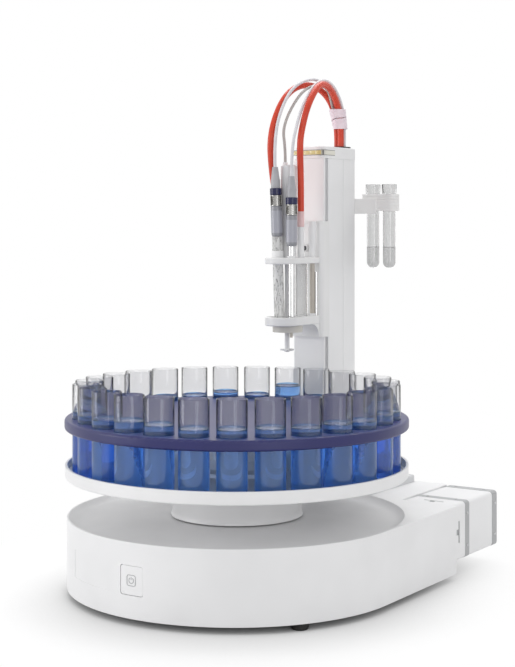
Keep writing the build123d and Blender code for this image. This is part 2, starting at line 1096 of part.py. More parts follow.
strip = light_shape(0) - light_shape(light_thickness)
window_length = 2 * light_reach
side_window = extrude(
    Plane.YZ
    * RectangleRounded(window_length, light_height, light_round),
    column_half + column_wall,
    both=True,
)
strip &= Pos(station_side, cap_front, foot_height + light_level + light_height / 2) * side_window
keep("light_strip", strip)
cap -= strip
entry_x = station_side + entry_side
entry_back = column_rear - entry_rear_inset
entry_low = tower_top - entry_well
cap -= rounded(
    entry_width, entry_depth, entry_corner, entry_low, tower_top, entry_x, entry_back
)
# Sockets for the guide rods, the lift screw and its bearing
rod_xs = [station_side - rod_spread, station_side + rod_spread]
for rod_x in rod_xs:
    cap -= rod(rod_radius, lip, lip + rod_seat, rod_x, screw_back)
cap -= rod(thrust_outer, lip, lip + rod_seat, station_side, screw_back)
keep("tower_cap", cap)
grommet = rounded(
    entry_width,
    entry_depth,
    entry_corner,
    entry_low,
    tower_top + grommet_lip,
    entry_x,
    entry_back,
)
grommet -= rounded(
    entry_width - 2 * grommet_wall,
    entry_depth - 2 * grommet_wall,
    entry_corner - grommet_wall,
    entry_low + grommet_wall,
    tower_top + grommet_lip,
    entry_x,
    entry_back,
)
keep("entry_grommet", grommet)

# Guide rods, lift screw with its motor and bearings
rods = [
    rod(rod_radius, plinth_top, lip + rod_seat, rod_x, screw_back) for rod_x in rod_xs
]
top_bearing = pipe(
    thrust_outer - seat_gap,
    screw_radius + running_fit,
    lip,
    lip + rod_seat,
    station_side,
    screw_back,
)
low_bearing = pipe(
    thrust_outer,
    screw_radius + running_fit,
    plinth_top - thrust_height,
    plinth_top,
    station_side,
    screw_back,
)
keep("guide_rods", *rods)
keep("ball_bearings", bearing, step_block, top_bearing, low_bearing)
lift_motor_top = motor_top
lift_motor = rounded(
    motor_width,
    motor_width,
    motor_corner,
    sheet_top,
    lift_motor_top,
    station_side,
    screw_back,
)
keep("drive_motors", turn_motor, lift_motor)
coupling_low = lift_motor_top + moving_gap
lift_screw = rod(
    coupling_radius, coupling_low, coupling_low + coupling_height, station_side, screw_back
)
lift_screw += rod(
    screw_radius, coupling_low, lip + rod_seat - moving_gap, station_side, screw_back
)
keep("lift_screw", lift_screw)

# Slider and nut inside the column
slider_bottom = foot_height + carriage_bottom + slider_rise
slider_top = slider_bottom + slider_height
slider = block(
    station_side - slider_width / 2,
    station_side + slider_width / 2,
    slider_front,
    slider_back,
    slider_bottom,
    slider_top,
)
for rod_x in rod_xs:
    slider -= rod(
        rod_radius + running_fit, slider_bottom, slider_top, rod_x, screw_back
    )
slider -= rod(nut_outer, slider_bottom, slider_top, station_side, screw_back)
keep("slider_block", slider)
nut_low = slider_bottom - nut_flange_height
nut = pipe(
    nut_outer,
    screw_radius + running_fit,
    slider_bottom,
    slider_top,
    station_side,
    screw_back,
)
nut += pipe(
    nut_flange,
    screw_radius + running_fit,
    nut_low,
    slider_bottom,
    station_side,
    screw_back,
)
keep("lift_nut", nut)

# Carriage: a frame round the front panel with a shallow open front
carriage_low = foot_height + carriage_bottom
carriage_high = foot_height + carriage_top
carriage_half = carriage_width / 2
carriage_rear = column_front - carriage_rear_gap
carriage = block(
    station_side - carriage_half,
    station_side + carriage_half,
    carriage_front,
    carriage_rear,
    carriage_low,
    carriage_high,
)
carriage = round_upright(
    carriage, carriage_round, lambda c: c.Y < carriage_front + seat_gap
)
carriage -= block(
    station_side - panel_half - panel_clear,
    station_side + panel_half + panel_clear,
    panel_front - panel_clear,
    panel_back + panel_clear,
    carriage_low,
    carriage_high,
)
pocket_half = carriage_half - pocket_side
pocket_back = carriage_front + pocket_depth
for low, high in (
    (upper_arm_top, carriage_high - pocket_top),
    (lower_arm_top, upper_arm_bottom),
):
    carriage -= block(
        station_side - pocket_half,
        station_side + pocket_half,
        carriage_front,
        pocket_back,
        low,
        high,
    )
carriage += block(
    station_side - neck_width / 2,
    station_side + neck_width / 2,
    carriage_rear,
    slider_front,
    slider_bottom,
    slider_top,
)

# Places of the instruments over the sampled tube
tilt_turn = math.radians(sensor_a_bearing)
lean_axis = (-math.sin(tilt_turn), math.cos(tilt_turn), 0)
shaft_end = lower_arm_bottom - cup_ceiling + shaft_end_gap


def spot(x, y):
    return station_side + x, station_back + y


def leaned(shape):
    """Put a piece built upright at the first sensor's place on its slant."""
    x, y = spot(sensor_a_x, sensor_a_y)
    axis = Axis((x, y, shaft_end), lean_axis)
    return shape.rotate(axis, sensor_a_lean)


ax, ay = spot(sensor_a_x, sensor_a_y)
bx, by = spot(sensor_b_x, sensor_b_y)
glass_cut = leaned(
    rod(glass_radius + seat_gap, shaft_end - wall, upper_arm_top + wall, ax, ay)
)
steel_cut = rod(
    steel_radius + seat_gap, shaft_end - wall, upper_arm_top + wall, bx, by
)
sx, sy = spot(stirrer_x, stirrer_y)
stirrer_cut = rod(
    stirrer_radius + moving_gap, shaft_end - wall, upper_arm_top + wall, sx, sy
)


# Arms with round fronts
def arm(level, thickness):
    tip = Pos(station_side, arm_tip_back) * Circle(arm_half)
    length = carriage_front - arm_tip_back
    bar = Pos(station_side, arm_tip_back + length / 2) * Rectangle(2 * arm_half, length)
    plate_shape = extrude(Pos(0, 0, level) * (tip + bar), thickness)
    front = plate_shape.edges().filter_by(
        lambda e: e.center().Y < carriage_front - arm_edge
        and abs(e.center().Z - level - thickness / 2) > thickness / 4
    )
    return chamfer(front, arm_edge)


upper_arm = arm(upper_arm_bottom, upper_arm_thickness)
upper_arm -= [glass_cut, steel_cut, stirrer_cut]
keep("upper_arm", upper_arm)

lower_arm = arm(lower_arm_bottom, lower_arm_thickness)
gusset_profile = Polyline(
    (0, carriage_front, lower_arm_bottom),
    (0, carriage_front, carriage_low),
    (0, carriage_front - arm_edge, carriage_low),
)
gusset_arc = ThreePointArc(
    (0, carriage_front - arm_edge, carriage_low),
    (
        0,
        carriage_front - gusset_reach * (1 - math.cos(math.radians(45))) - arm_edge,
        carriage_low + (lower_arm_bottom - carriage_low) * math.sin(math.radians(45)),
    ),
    (0, carriage_front - gusset_reach, lower_arm_bottom),
)
gusset_close = Line(
    (0, carriage_front - gusset_reach, lower_arm_bottom),
    (0, carriage_front, lower_arm_bottom),
)
gusset = extrude(
    make_face(gusset_profile + gusset_arc + gusset_close), arm_half, dir=(1, 0, 0), both=True
)
lower_arm += Pos(station_side, 0, 0) * gusset
dish = rod(
    arm_dish_radius,
    lower_arm_top - arm_dish_depth,
    lower_arm_top,
    station_side,
    arm_tip_back,
)
lower_arm -= dish
tx, ty = spot(tip_x, tip_y)
tip_cut = rod(tip_radius, shaft_end - wall, lower_arm_top, tx, ty)
lower_arm -= [glass_cut, steel_cut, stirrer_cut]
keep("lower_arm", lower_arm)

# Cup that closes the tube below the lower arm
cup = rod(cup_radius, cup_top - cup_height, cup_top, *spot(0, 0))
cup -= rod(cup_inner, cup_top - cup_height, cup_top - cup_ceiling, *spot(0, 0))
cup -= [glass_cut, steel_cut, stirrer_cut, tip_cut]
keep("tube_cup", cup)
tip = pipe(
    tip_radius,
    tip_radius / 2,
    cup_top - cup_height - tip_drop,
    cup_top,
    tx,
    ty,
)


# Sensors: shaft, body, knurled connector, blue ring, collar and boot
def sensor_set(x, y, rise):
    low = upper_arm_top + rise
    body_top = low + body_height
    body = turned(
        [
            (0, low),
            (body_radius - body_taper, low),
            (body_radius, low + body_taper_height),
            (body_radius, body_top),
            (0, body_top),
        ],
        x,
        y,
    )
    knurl_top = body_top + knurl_height
    ring_low = knurl_top + knurl_gap
    ring_top = ring_low + ring_height
    collar_top = ring_top + collar_height
    boot_top = collar_top + boot_height
    knurl = turned(
        [
            (0, body_top),
            (knurl_radius, body_top),
            (knurl_radius, knurl_top),
            (knurl_neck, knurl_top),
            (knurl_neck, ring_low),
            (0, ring_low),
        ],
        x,
        y,
    )
    groove = Pos(knurl_radius, 0, body_top) * extrude(
        Rot(0, 0, 45) * Rectangle(knurl_cut * 2, knurl_cut * 2), knurl_height
    )
    grooves = [
        Pos(x, y, 0) * Rot(0, 0, 360 / knurl_count * k) * groove
        for k in range(knurl_count)
    ]
    knurl -= grooves
    ring = rod(ring_radius, ring_low, ring_top, x, y)
    boot = turned(
        [
            (0, ring_top),
            (collar_radius, ring_top),
            (collar_radius, collar_top),
            (boot_foot_radius, collar_top),
            (boot_top_radius, boot_top),
            (0, boot_top),
        ],
        x,
        y,
    )
    return body, knurl, ring, boot, boot_top


body_a, knurl_a, ring_a, boot_a, boot_a_top = sensor_set(ax, ay, sensor_a_body_rise)
body_b, knurl_b, ring_b, boot_b, boot_b_top = sensor_set(bx, by, sensor_b_body_rise)
keep("sensor_bodies", leaned(body_a), body_b)
keep("sensor_connectors", leaned(knurl_a), knurl_b)
keep("sensor_rings", leaned(ring_a), ring_b)
keep("sensor_boots", leaned(boot_a), boot_b)
glass_shaft = rod(glass_radius, shaft_end, upper_arm_top + sensor_a_body_rise, ax, ay)
keep("sensor_glass", leaned(glass_shaft))
steel_shaft = rod(steel_radius, shaft_end, upper_arm_top + sensor_b_body_rise, bx, by)
keep("sensor_steel", steel_shaft)
seat_a = rod(seat_radius + seat_gap, upper_arm_top - sheet, upper_arm_top + seat_height, ax, ay)
seat_a = leaned(seat_a) & block(
    station_side - arm_half,
    station_side + arm_half,
    arm_tip_back - arm_half,
    carriage_front,
    upper_arm_top,
    upper_arm_top + 2 * seat_height,
)
seat_a -= leaned(rod(glass_radius, shaft_end, upper_arm_top + sensor_a_body_rise, ax, ay))
seat_b = pipe(seat_b_radius, steel_radius, upper_arm_top, upper_arm_top + arm_dish_wall, bx, by)

# Stirrer with its drive
gear_x, gear_y = spot(motor_x, motor_y)
gear_top = upper_arm_top + gearbox_height
can_top = gear_top + drive_can_height
gearbox = rod(gearbox_radius, upper_arm_top, gear_top, gear_x, gear_y)
gearbox -= rod(
    stirrer_radius + moving_gap, upper_arm_top, upper_arm_top + bush_height, sx, sy
)
can = turned(
    [
        (0, gear_top),
        (drive_can_radius, gear_top),
        (drive_can_radius, can_top),
        (drive_cap_radius, can_top),
        (drive_cap_radius, can_top + drive_cap_height),
        (0, can_top + drive_cap_height),
    ],
    gear_x,
    gear_y,
)
gland_top = can_top + drive_cap_height + gland_height
gland_at = (gear_x + gland_x, gear_y + gland_y)
can += rod(gland_radius, can_top + drive_cap_height, gland_top, *gland_at)
keep("stirrer_motor", gearbox + can)
stirrer_low = lower_arm_top - stirrer_drop
stirrer = rod(
    stirrer_radius, stirrer_low, upper_arm_top + bush_height - moving_gap, sx, sy
)
blade_low = stirrer_low - blade_hub_height
propeller = rod(blade_hub_radius, blade_low, stirrer_low, sx, sy)
for k in range(blade_count):
    blade_shape = Ellipse(blade_reach / 2, blade_width / 2)
    blade = extrude(blade_shape, blade_thickness / 2, both=True)
    blade = Pos(blade_reach / 2, 0, 0) * Rot(blade_pitch, 0, 0) * blade
    turn = Rot(0, 0, blade_turn + 360 / blade_count * k)
    propeller += Pos(sx, sy, blade_low + blade_hub_height / 2) * turn * blade
keep("stirrer", stirrer + propeller)

# Hose fittings, sleeve, spray nozzle, rods and knob
hbx, hby = spot(hose_b_x, hose_b_y)
hax, hay = spot(hose_a_x, hose_a_y)
fit_b_top = upper_arm_top + fitting_height
fit_a_top = upper_arm_top + fitting_a_height
fitting_b = rod(fitting_radius, upper_arm_top, fit_b_top, hbx, hby)
fitting_a = rod(fitting_radius, upper_arm_top, fit_a_top, hax, hay)
cap_b_top = fit_b_top + hose_cap_height
cap_a_top = fit_a_top + hose_cap_height
link_b = rod(hose_cap_radius, fit_b_top, cap_b_top, hbx, hby)
link_a = rod(hose_cap_radius, fit_a_top, cap_a_top, hax, hay)
keep("hose_connectors", link_a, link_b)
sleeve = pipe(
    sleeve_radius,
    sleeve_radius - sleeve_wall,
    lower_arm_top,
    upper_arm_bottom,
    hbx,
    hby,
)
nx, ny = spot(nozzle_x, nozzle_y)
nozzle_top = upper_arm_top + nozzle_height
nozzle = turned(
    [
        (0, upper_arm_top),
        (nozzle_foot_radius, upper_arm_top),
        (nozzle_top_radius, nozzle_top),
        (nozzle_cap_radius, nozzle_top),
        (nozzle_cap_radius, nozzle_top + nozzle_cap),
        (0, nozzle_top + nozzle_cap),
    ],
    nx,
    ny,
)
keep("arm_fittings", fitting_a, fitting_b, nozzle, seat_a, seat_b)
nozzle_rod = rod(
    nozzle_rod_radius, lower_arm_top + nozzle_foot_height, upper_arm_bottom, nx, ny
)
keep("nozzle_rod", nozzle_rod)
nozzle_foot = rod(
    nozzle_foot_width, lower_arm_top, lower_arm_top + nozzle_foot_height, nx, ny
)
rx, ry = spot(rinse_x, rinse_y)
nozzle_foot -= rod(
    rinse_radius + seat_gap, lower_arm_top, lower_arm_top + nozzle_foot_height, rx, ry
)
rinse = rod(rinse_radius, lower_arm_top, upper_arm_bottom - rinse_short, rx, ry)
keep("dosing_sleeves", sleeve, nozzle_foot, rinse, tip)
knob_z = upper_arm_top + knob_level
knob_x = station_side + knob_side
knob_face = pocket_back - knob_length
knob = rod_y(knob_radius, knob_face, pocket_back, knob_x, knob_z)
knob_boss = rod_y(
    knob_ring_radius, pocket_back - knob_ring, pocket_back, knob_x, knob_z
)
knob_pocket = rod_y(
    knob_radius + seat_gap, pocket_back - knob_ring, pocket_back, knob_x, knob_z
)
keep("clamp_knob", knob)
keep("carriage", carriage + knob_boss - knob_pocket)

# Holder behind the tower with two round bottomed tubes
holder_x = holder_left + holder_width / 2
holder_mid = holder_front + holder_depth / 2
holder_low = foot_height + holder_level
holder_high = holder_low + holder_height
holder = rounded(
    holder_width,
    holder_depth,
    holder_depth / 2 - seat_gap,
    holder_low,
    holder_high,
    holder_x,
    holder_mid,
)
groove_pitch = holder_height / (groove_count + 1)
for n in range(groove_count):
    groove_mid = holder_low + groove_pitch * (n + 1)
    outside = rounded(
        holder_width,
        holder_depth,
        holder_depth / 2 - seat_gap,
        groove_mid - holder_groove / 2,
        groove_mid + holder_groove / 2,
        holder_x,
        holder_mid,
    )
    inside = rounded(
        holder_width - 2 * holder_groove,
        holder_depth - 2 * holder_groove,
        holder_depth / 2 - seat_gap - holder_groove,
        groove_mid - holder_groove / 2,
        groove_mid + holder_groove / 2,
        holder_x,
        holder_mid,
    )
    holder -= outside - inside
test_xs = [holder_left + test_first, holder_left + test_first + test_pitch]
for test_x in test_xs:
    holder -= rod(
        test_radius + test_gap, holder_low, holder_high, test_x, holder_mid
    )
bracket_low = holder_low - bracket_drop
bracket = block(
    bracket_left,
    holder_x,
    column_rear,
    holder_front,
    bracket_low,
    bracket_low + bracket_height,
)
holder += bracket
tab = block(
    holder_left - bracket_tab,
    holder_left + bracket_tab,
    holder_front,
    holder_front + bracket_thickness,
    bracket_low,
    bracket_low + bracket_height,
)
holder += tab
keep("tube_holder", holder)
test_top = holder_high + test_rise
test_low = test_top - test_length
test_round = test_low + test_radius
flare_low = holder_high
test_inner = test_radius - test_wall


def test_tube(x):
    outer = ThreePointArc(
        (0, 0, test_low),
        (
            test_radius * math.sin(math.radians(45)),
            0,
            test_round - test_radius * math.cos(math.radians(45)),
        ),
        (test_radius, 0, test_round),
    )
    inner = ThreePointArc(
        (test_inner, 0, test_round),
        (
            test_inner * math.sin(math.radians(45)),
            0,
            test_round - test_inner * math.cos(math.radians(45)),
        ),
        (0, 0, test_low + test_wall),
    )
    side = Polyline(
        (test_radius, 0, test_round),
        (test_radius, 0, flare_low),
        (test_radius + test_rim, 0, flare_low),
        (test_radius + test_rim, 0, test_top),
        (test_radius + test_rim - test_wall, 0, test_top),
        (test_inner, 0, flare_low - test_wall),
        (test_inner, 0, test_round),
    )
    foot = Line((0, 0, test_low + test_wall), (0, 0, test_low))
    glass = revolve(make_face(outer + side + inner + foot), Axis.Z)
    return Pos(x, holder_mid, moving_gap) * glass


keep("test_tube_left", test_tube(test_xs[0]))
keep("test_tube_right", test_tube(test_xs[1]))


# Pump unit: head cover, two bands, body and what turns inside
def pump_block(low_y, high_y, grow=0.0):
    outline = RectangleRounded(
        pump_size + 2 * grow, pump_size + 2 * grow, pump_round
    )
    place = Location((pump_x, low_y, pump_z), (-90, 0, 0))
    return place * extrude(outline, high_y - low_y)


band_a_low = pump_head_rear
band_a_high = band_a_low + band_thickness
pump_head = pump_block(pump_front, pump_head_rear)
race_low = pump_front + race_front
pump_head -= rod_y(race_radius, race_low, pump_head_rear, pump_x, pump_z)


def grip(turn):
    bar = Box(grip_length, grip_width, 2 * grip_depth)
    stem_box = Box(grip_width * 2, grip_stem, 2 * grip_depth)
    mark = bar + Pos(0, -grip_stem / 2, 0) * stem_box
    face = Pos(0, grip_back, pump_size / 2) * mark
    return Pos(pump_x, 0, pump_z) * Rot(0, turn, 0) * face


for turn in (0, 90, 180):
    pump_head -= grip(turn)
band_a = pump_block(band_a_low, band_a_high, band_grow * half_share)
shaft_hole = rod_y(
    rotor_shaft + moving_gap, band_a_low, band_a_high, pump_x, pump_z
)
pump_body_rear = band_a_high + pump_body_length
pump_rear = pump_body_rear + rear_band_thickness
pump_body = pump_block(band_a_high, pump_body_rear)
motor_front = band_a_high
shaft_bore = rod_y(
    rotor_shaft + moving_gap,
    motor_front,
    motor_front + shaft_depth,
    pump_x,
    pump_z,
)
keep("pump_body", pump_body - shaft_bore)
band_b = pump_block(pump_body_rear, pump_rear, band_grow * half_share)
keep("pump_bands", band_a - shaft_hole, band_b)
band_screws = []
face_x = pump_right + band_grow * half_share
face_z = pump_top + band_grow * half_share
for band_mid in (
    (band_a_low + band_a_high) / 2,
    (pump_body_rear + pump_rear) / 2,
):
    for n in (-1, 1):
        side_screw = Location((face_x, band_mid, pump_z + n * band_screw_spread), (0, 90, 0))
        band_screws.append(
            side_screw * extrude(Circle(band_screw_radius), band_screw_height)
        )
        band_screws.append(
            rod(
                band_screw_radius,
                face_z,
                face_z + band_screw_height,
                pump_x + n * band_screw_spread,
                band_mid,
            )
        )
keep("case_screws", *screws, *band_screws)

# Rotor with rollers and the tube it squeezes
rotor_front = race_low + moving_gap * 2
rotor_back = rotor_front + rotor_plate
second_plate = rotor_back + roller_length
rotor = rod_y(rotor_radius, rotor_front, rotor_back, pump_x, pump_z)
rotor += rod_y(
    rotor_radius, second_plate, second_plate + rotor_plate, pump_x, pump_z
)
shaft_back = motor_front + shaft_depth - moving_gap
rotor += rod_y(rotor_shaft, rotor_front, shaft_back, pump_x, pump_z)
rollers = []
roller_offset = race_radius - 2 * pump_tube_radius - roller_gap - roller_radius
for k in range(roller_count):
    t = math.radians(360 / roller_count * k + 90)
    rollers.append(
        rod_y(
            roller_radius,
            rotor_back,
            second_plate,
            pump_x + roller_offset * math.cos(t),
            pump_z + roller_offset * math.sin(t),
        )
    )
keep("pump_rotor", rotor, *rollers)
bed_radius = race_radius - pump_tube_radius
tube_y = (rotor_back + second_plate) / 2
tube_path = Polyline(
    (pump_x - bed_radius, tube_y, pump_bottom),
    (pump_x - bed_radius, tube_y, pump_z),
)
tube_path += ThreePointArc(
    (pump_x - bed_radius, tube_y, pump_z),
    (pump_x, tube_y, pump_z + bed_radius),
    (pump_x + bed_radius, tube_y, pump_z),
)
tube_path += Line(
    (pump_x + bed_radius, tube_y, pump_z),
    (pump_x + bed_radius, tube_y, pump_bottom),
)
tube_end = Pos(pump_x - bed_radius, tube_y, pump_bottom) * Circle(pump_tube_radius)
keep("pump_tube", sweep(tube_end, path=tube_path))
for side in (-1, 1):
    pump_head -= rod(
        pump_tube_radius + seat_gap,
        pump_bottom,
        pump_z,
        pump_x + side * bed_radius,
        tube_y,
    )
keep("pump_head", pump_head)


# Hoses and cables as round tubes: straight runs joined by large arcs, cut
# level where they stand on the floor of the grommet
entry_floor = entry_low + grommet_wall
below_entry = rounded(
    entry_width, entry_depth, entry_corner, entry_low, entry_floor, entry_x, entry_back
)


def cord(name, points, radius):
    runs = [Vector(*b) - Vector(*a) for a, b in zip(points, points[1:])]
    radii = []
    for run, after in zip(runs, runs[1:]):
        turn = math.radians(run.get_angle(after))
        shorter = min(run.length, after.length)
        radii.append(cord_share * shorter / math.tan(turn * half_share))
    print(name, "radii", [round(value, 1) for value in radii])
    path = FilletPolyline(*points, radius=radii)
    section = Plane(origin=points[0], z_dir=runs[0]) * Circle(radius)
    tube = sweep(section, path=path)
    expected = math.pi * radius**2 * path.length
    print(name, "length", round(path.length, 1), "volume share", tube.volume / expected)
    keep(name, tube - below_entry)


cord("hose_right", hose_right_route, hose_radius)
cord("hose_left", hose_left_route, hose_radius)
cord("cable_left", cable_left_route, cable_radius)
cord("cable_right", cable_right_route, cable_radius)
cord("cable_stirrer", cable_stirrer_route, stirrer_cable_radius)


# Wrap that holds the hoses and cables together above the tower
def wrap_outline(place, width, depth, grow):
    outline = RectangleRounded(width + 2 * grow, depth + 2 * grow, wrap_corner + grow)
    return Pos(*place) * Rot(0, 0, wrap_turn) * outline


def wrap_loft(grow):
    low = wrap_outline(wrap_low, wrap_low_width, wrap_low_depth, grow)
    high = wrap_outline(wrap_high, wrap_high_width, wrap_high_depth, grow)
    return loft([low, high])


keep("cable_wrap", wrap_loft(wrap_sheet) - wrap_loft(0))
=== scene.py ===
import math

import bpy
from mathutils import Matrix, Vector


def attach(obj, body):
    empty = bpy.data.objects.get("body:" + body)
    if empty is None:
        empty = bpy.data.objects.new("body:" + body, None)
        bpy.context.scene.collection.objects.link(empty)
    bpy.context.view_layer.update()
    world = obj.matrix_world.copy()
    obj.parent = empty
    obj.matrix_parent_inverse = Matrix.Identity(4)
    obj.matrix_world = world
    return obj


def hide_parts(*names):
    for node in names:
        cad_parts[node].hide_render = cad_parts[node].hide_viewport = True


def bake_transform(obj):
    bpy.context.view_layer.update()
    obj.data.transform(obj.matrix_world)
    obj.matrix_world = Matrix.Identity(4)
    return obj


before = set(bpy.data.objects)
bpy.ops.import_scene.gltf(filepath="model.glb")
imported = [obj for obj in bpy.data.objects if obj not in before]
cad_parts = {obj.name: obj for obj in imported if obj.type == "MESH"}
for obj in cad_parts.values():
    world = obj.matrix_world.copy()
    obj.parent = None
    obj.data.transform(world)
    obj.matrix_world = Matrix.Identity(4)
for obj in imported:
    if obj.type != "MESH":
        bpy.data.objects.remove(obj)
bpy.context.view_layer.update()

mm = 0.001
fullTurn = 2 * math.pi
print("stage: frame loaded,", len(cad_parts), "nodes")

# The rack's axis, taken from the solids
turntable = {"x": 0.0, "y": -0.05485}

# Camera level with the lower arm, looking a little from the right
camera = {
    "place": (0.85163, -1.28888, 0.37276), "turn": 33.81, "lens": 78.95, "shift": -0.16354,
    "film": 36, "near": 0.05, "far": 200,
}
bpy.ops.object.camera_add(
    location=camera["place"],
    rotation=(math.pi / 2, 0, math.radians(camera["turn"])),
)
eye = bpy.context.object
eye.name = "viewCamera"
eye.data.lens = camera["lens"]
eye.data.sensor_width = camera["film"]
eye.data.shift_y = camera["shift"]
eye.data.clip_start = camera["near"]
eye.data.clip_end = camera["far"]
bpy.context.scene.camera = eye
bpy.context.scene.view_settings.view_transform = "Standard"

# Rows of filled tubes stand behind each other, so light may pass many walls
bounces = 40
bpy.context.scene.cycles.max_bounces = bounces
bpy.context.scene.cycles.transmission_bounces = bounces
bpy.context.scene.cycles.transparent_max_bounces = bounces


# Nodes and colours
def addNode(tree, kind, values=None, links=None, **settings):
    node = tree.nodes.new(kind)
    for key, value in settings.items():
        setattr(node, key, value)
    for key, value in (values or {}).items():
        node.inputs[key].default_value = value
    for key, source in (links or {}).items():
        tree.links.new(source, node.inputs[key])
    return node


def linear(hexText):
    parts = [int(hexText[n : n + 2], 16) / 255 for n in (1, 3, 5)]
    parts = [p / 12.92 if p <= 0.04045 else ((p + 0.055) / 1.055) ** 2.4 for p in parts]
    return (*parts, 1.0)


def startMaterial(name, colour, roughness, ior=None, metallic=0.0):
    material = bpy.data.materials.new(name)
    material.use_nodes = True
    tree = material.node_tree
    shader = tree.nodes["Principled BSDF"]
    shader.inputs["Base Color"].default_value = linear(colour)
    shader.inputs["Roughness"].default_value = roughness
    shader.inputs["Metallic"].default_value = metallic
    if ior:
        shader.inputs["IOR"].default_value = ior
    place = addNode(tree, "ShaderNodeTexCoord").outputs["Object"]
    return material, tree, shader, place


def fromSize(size):
    return 1 / (size * mm)


# Stretch of a noise pattern's range over which colour and gloss change
band = {"tint": (0.35, 0.65), "gloss": (0.3, 0.7)}


def tint(tree, shader, place, size, pale, deep):
    noise = addNode(tree, "ShaderNodeTexNoise", {"Scale": fromSize(size)}, {"Vector": place})
    ramp = addNode(tree, "ShaderNodeValToRGB", links={"Fac": noise.outputs["Fac"]})
    for stop, position, colour in zip(ramp.color_ramp.elements, band["tint"], (deep, pale)):
        stop.position = position
        stop.color = linear(colour)
    tree.links.new(ramp.outputs["Color"], shader.inputs["Base Color"])


def sheenSpread(tree, shader, place, size, low, high):
    noise = addNode(
        tree, "ShaderNodeTexNoise", {"Scale": fromSize(size), "Detail": 3.0}, {"Vector": place},
    )
    spread = addNode(
        tree, "ShaderNodeMapRange",
        {"From Min": band["gloss"][0], "From Max": band["gloss"][1], "To Min": low, "To Max": high},
        {"Value": noise.outputs["Fac"]},
    )
    tree.links.new(spread.outputs["Result"], shader.inputs["Roughness"])


def grain(tree, shader, place, size, height, strength, detail=2.0):
    noise = addNode(
        tree, "ShaderNodeTexNoise", {"Scale": fromSize(size), "Detail": detail}, {"Vector": place},
    )
    bump = addNode(
        tree, "ShaderNodeBump",
        {"Strength": strength, "Distance": height * mm},
        {"Height": noise.outputs["Fac"]},
    )
    tree.links.new(bump.outputs["Normal"], shader.inputs["Normal"])


# Millimetres over which colour and gloss drift, and the height and strength of the skin's relief
skins = {
    "moulded": {"drift": 70, "gloss": 24, "height": 0.05, "strength": 0.35},
    "coated": {"drift": 90, "gloss": 30, "height": 0.06, "strength": 0.3, "peel": 1.8},
    "brushed": {"drift": 18, "gloss": 9, "height": 0.01, "strength": 0.25},
    "soft": {"drift": 14, "gloss": 8, "height": 0.012, "strength": 0.2},
}


# Moulded plastic with a spark eroded skin: soft wide highlights, a faint grain at the edge of sight,
# drawn near a millimetre across, because the real one is too fine to show
def mouldedPlastic(name, pale, deep, low, high, size=0.9, ior=1.54):
    skin = skins["moulded"]
    material, tree, shader, place = startMaterial(name, pale, low, ior=ior)
    tint(tree, shader, place, skin["drift"], pale, deep)
    sheenSpread(tree, shader, place, skin["gloss"], low, high)
    grain(tree, shader, place, size, skin["height"], skin["strength"])
    return material


# Powder coated sheet and extrusion: orange peel a millimetre or two across
def powderCoat(name, pale, deep, low, high):
    skin = skins["coated"]
    material, tree, shader, place = startMaterial(name, pale, low, ior=1.5)
    tint(tree, shader, place, skin["drift"], pale, deep)
    sheenSpread(tree, shader, place, skin["gloss"], low, high)
    grain(tree, shader, place, skin["peel"], skin["height"], skin["strength"], detail=3.0)
    return material


# Turned, plated or rolled metal with fine lines across its length
def brushedMetal(name, pale, deep, low, high, line=0.35, across=(1, 1, 0.02)):
    skin = skins["brushed"]
    material, tree, shader, place = startMaterial(name, pale, low, metallic=1.0)
    tint(tree, shader, place, skin["drift"], pale, deep)
    sheenSpread(tree, shader, place, skin["gloss"], low, high)
    turn = addNode(tree, "ShaderNodeMapping", {"Scale": across}, {"Vector": place})
    grain(tree, shader, turn.outputs["Vector"], line, skin["height"], skin["strength"])
    return material


# Soft rubber, silicone or sheath: dull, with a little bloom
def softRubber(name, pale, deep, low, high, size=1.2, ior=1.45):
    skin = skins["soft"]
    material, tree, shader, place = startMaterial(name, pale, low, ior=ior)
    tint(tree, shader, place, skin["drift"], pale, deep)
    sheenSpread(tree, shader, place, skin["gloss"], low, high)
    grain(tree, shader, place, size, skin["height"], skin["strength"])
    return material


# Glass shaft packed with pale gel: bright body with thin dark wriggling lines along it
gel = {
    "body": "#efefee", "clear": 0.3, "size": 5.5, "stretch": 0.22, "twist": 2.2,
    "pale": ("#f4f4f3", 0.47), "far": ("#e9e9e8", 0.55), "line": ("#777878", 0.51),
}


def wornGel(name):
    material, tree, shader, place = startMaterial(name, gel["body"], 0.05, ior=1.45)
    shader.inputs["Transmission Weight"].default_value = gel["clear"]
    stretch = addNode(
        tree, "ShaderNodeMapping", {"Scale": (1.0, 1.0, gel["stretch"])}, {"Vector": place},
    )
    streak = addNode(
        tree, "ShaderNodeTexNoise",
        {"Scale": fromSize(gel["size"]), "Detail": 3.0, "Distortion": gel["twist"]},
        {"Vector": stretch.outputs["Vector"]},
    )
    ramp = addNode(tree, "ShaderNodeValToRGB", links={"Fac": streak.outputs["Fac"]})
    stops = ramp.color_ramp.elements
    for stop, (colour, position) in zip(stops, (gel["pale"], gel["far"])):
        stop.position = position
        stop.color = linear(colour)
    colour, position = gel["line"]
    stops.new(position).color = linear(colour)
    tree.links.new(ramp.outputs["Color"], shader.inputs["Base Color"])
    return material


# Shadows of glass and water stay pale, because light goes through
def letLightThrough(tree, shader, colour):
    path = addNode(tree, "ShaderNodeLightPath")
    through = addNode(tree, "ShaderNodeBsdfTransparent", {"Color": linear(colour)})
    both = addNode(
        tree, "ShaderNodeMixShader",
        links={0: path.outputs["Is Shadow Ray"], 1: shader.outputs[0], 2: through.outputs[0]},
    )
    tree.links.new(both.outputs[0], tree.nodes["Material Output"].inputs["Surface"])


# Liquid in the rack's tubes: height of its top, and how far the wall's painted reflection grey takes to
# fade there
surface = {"level": 182, "fade": 4}
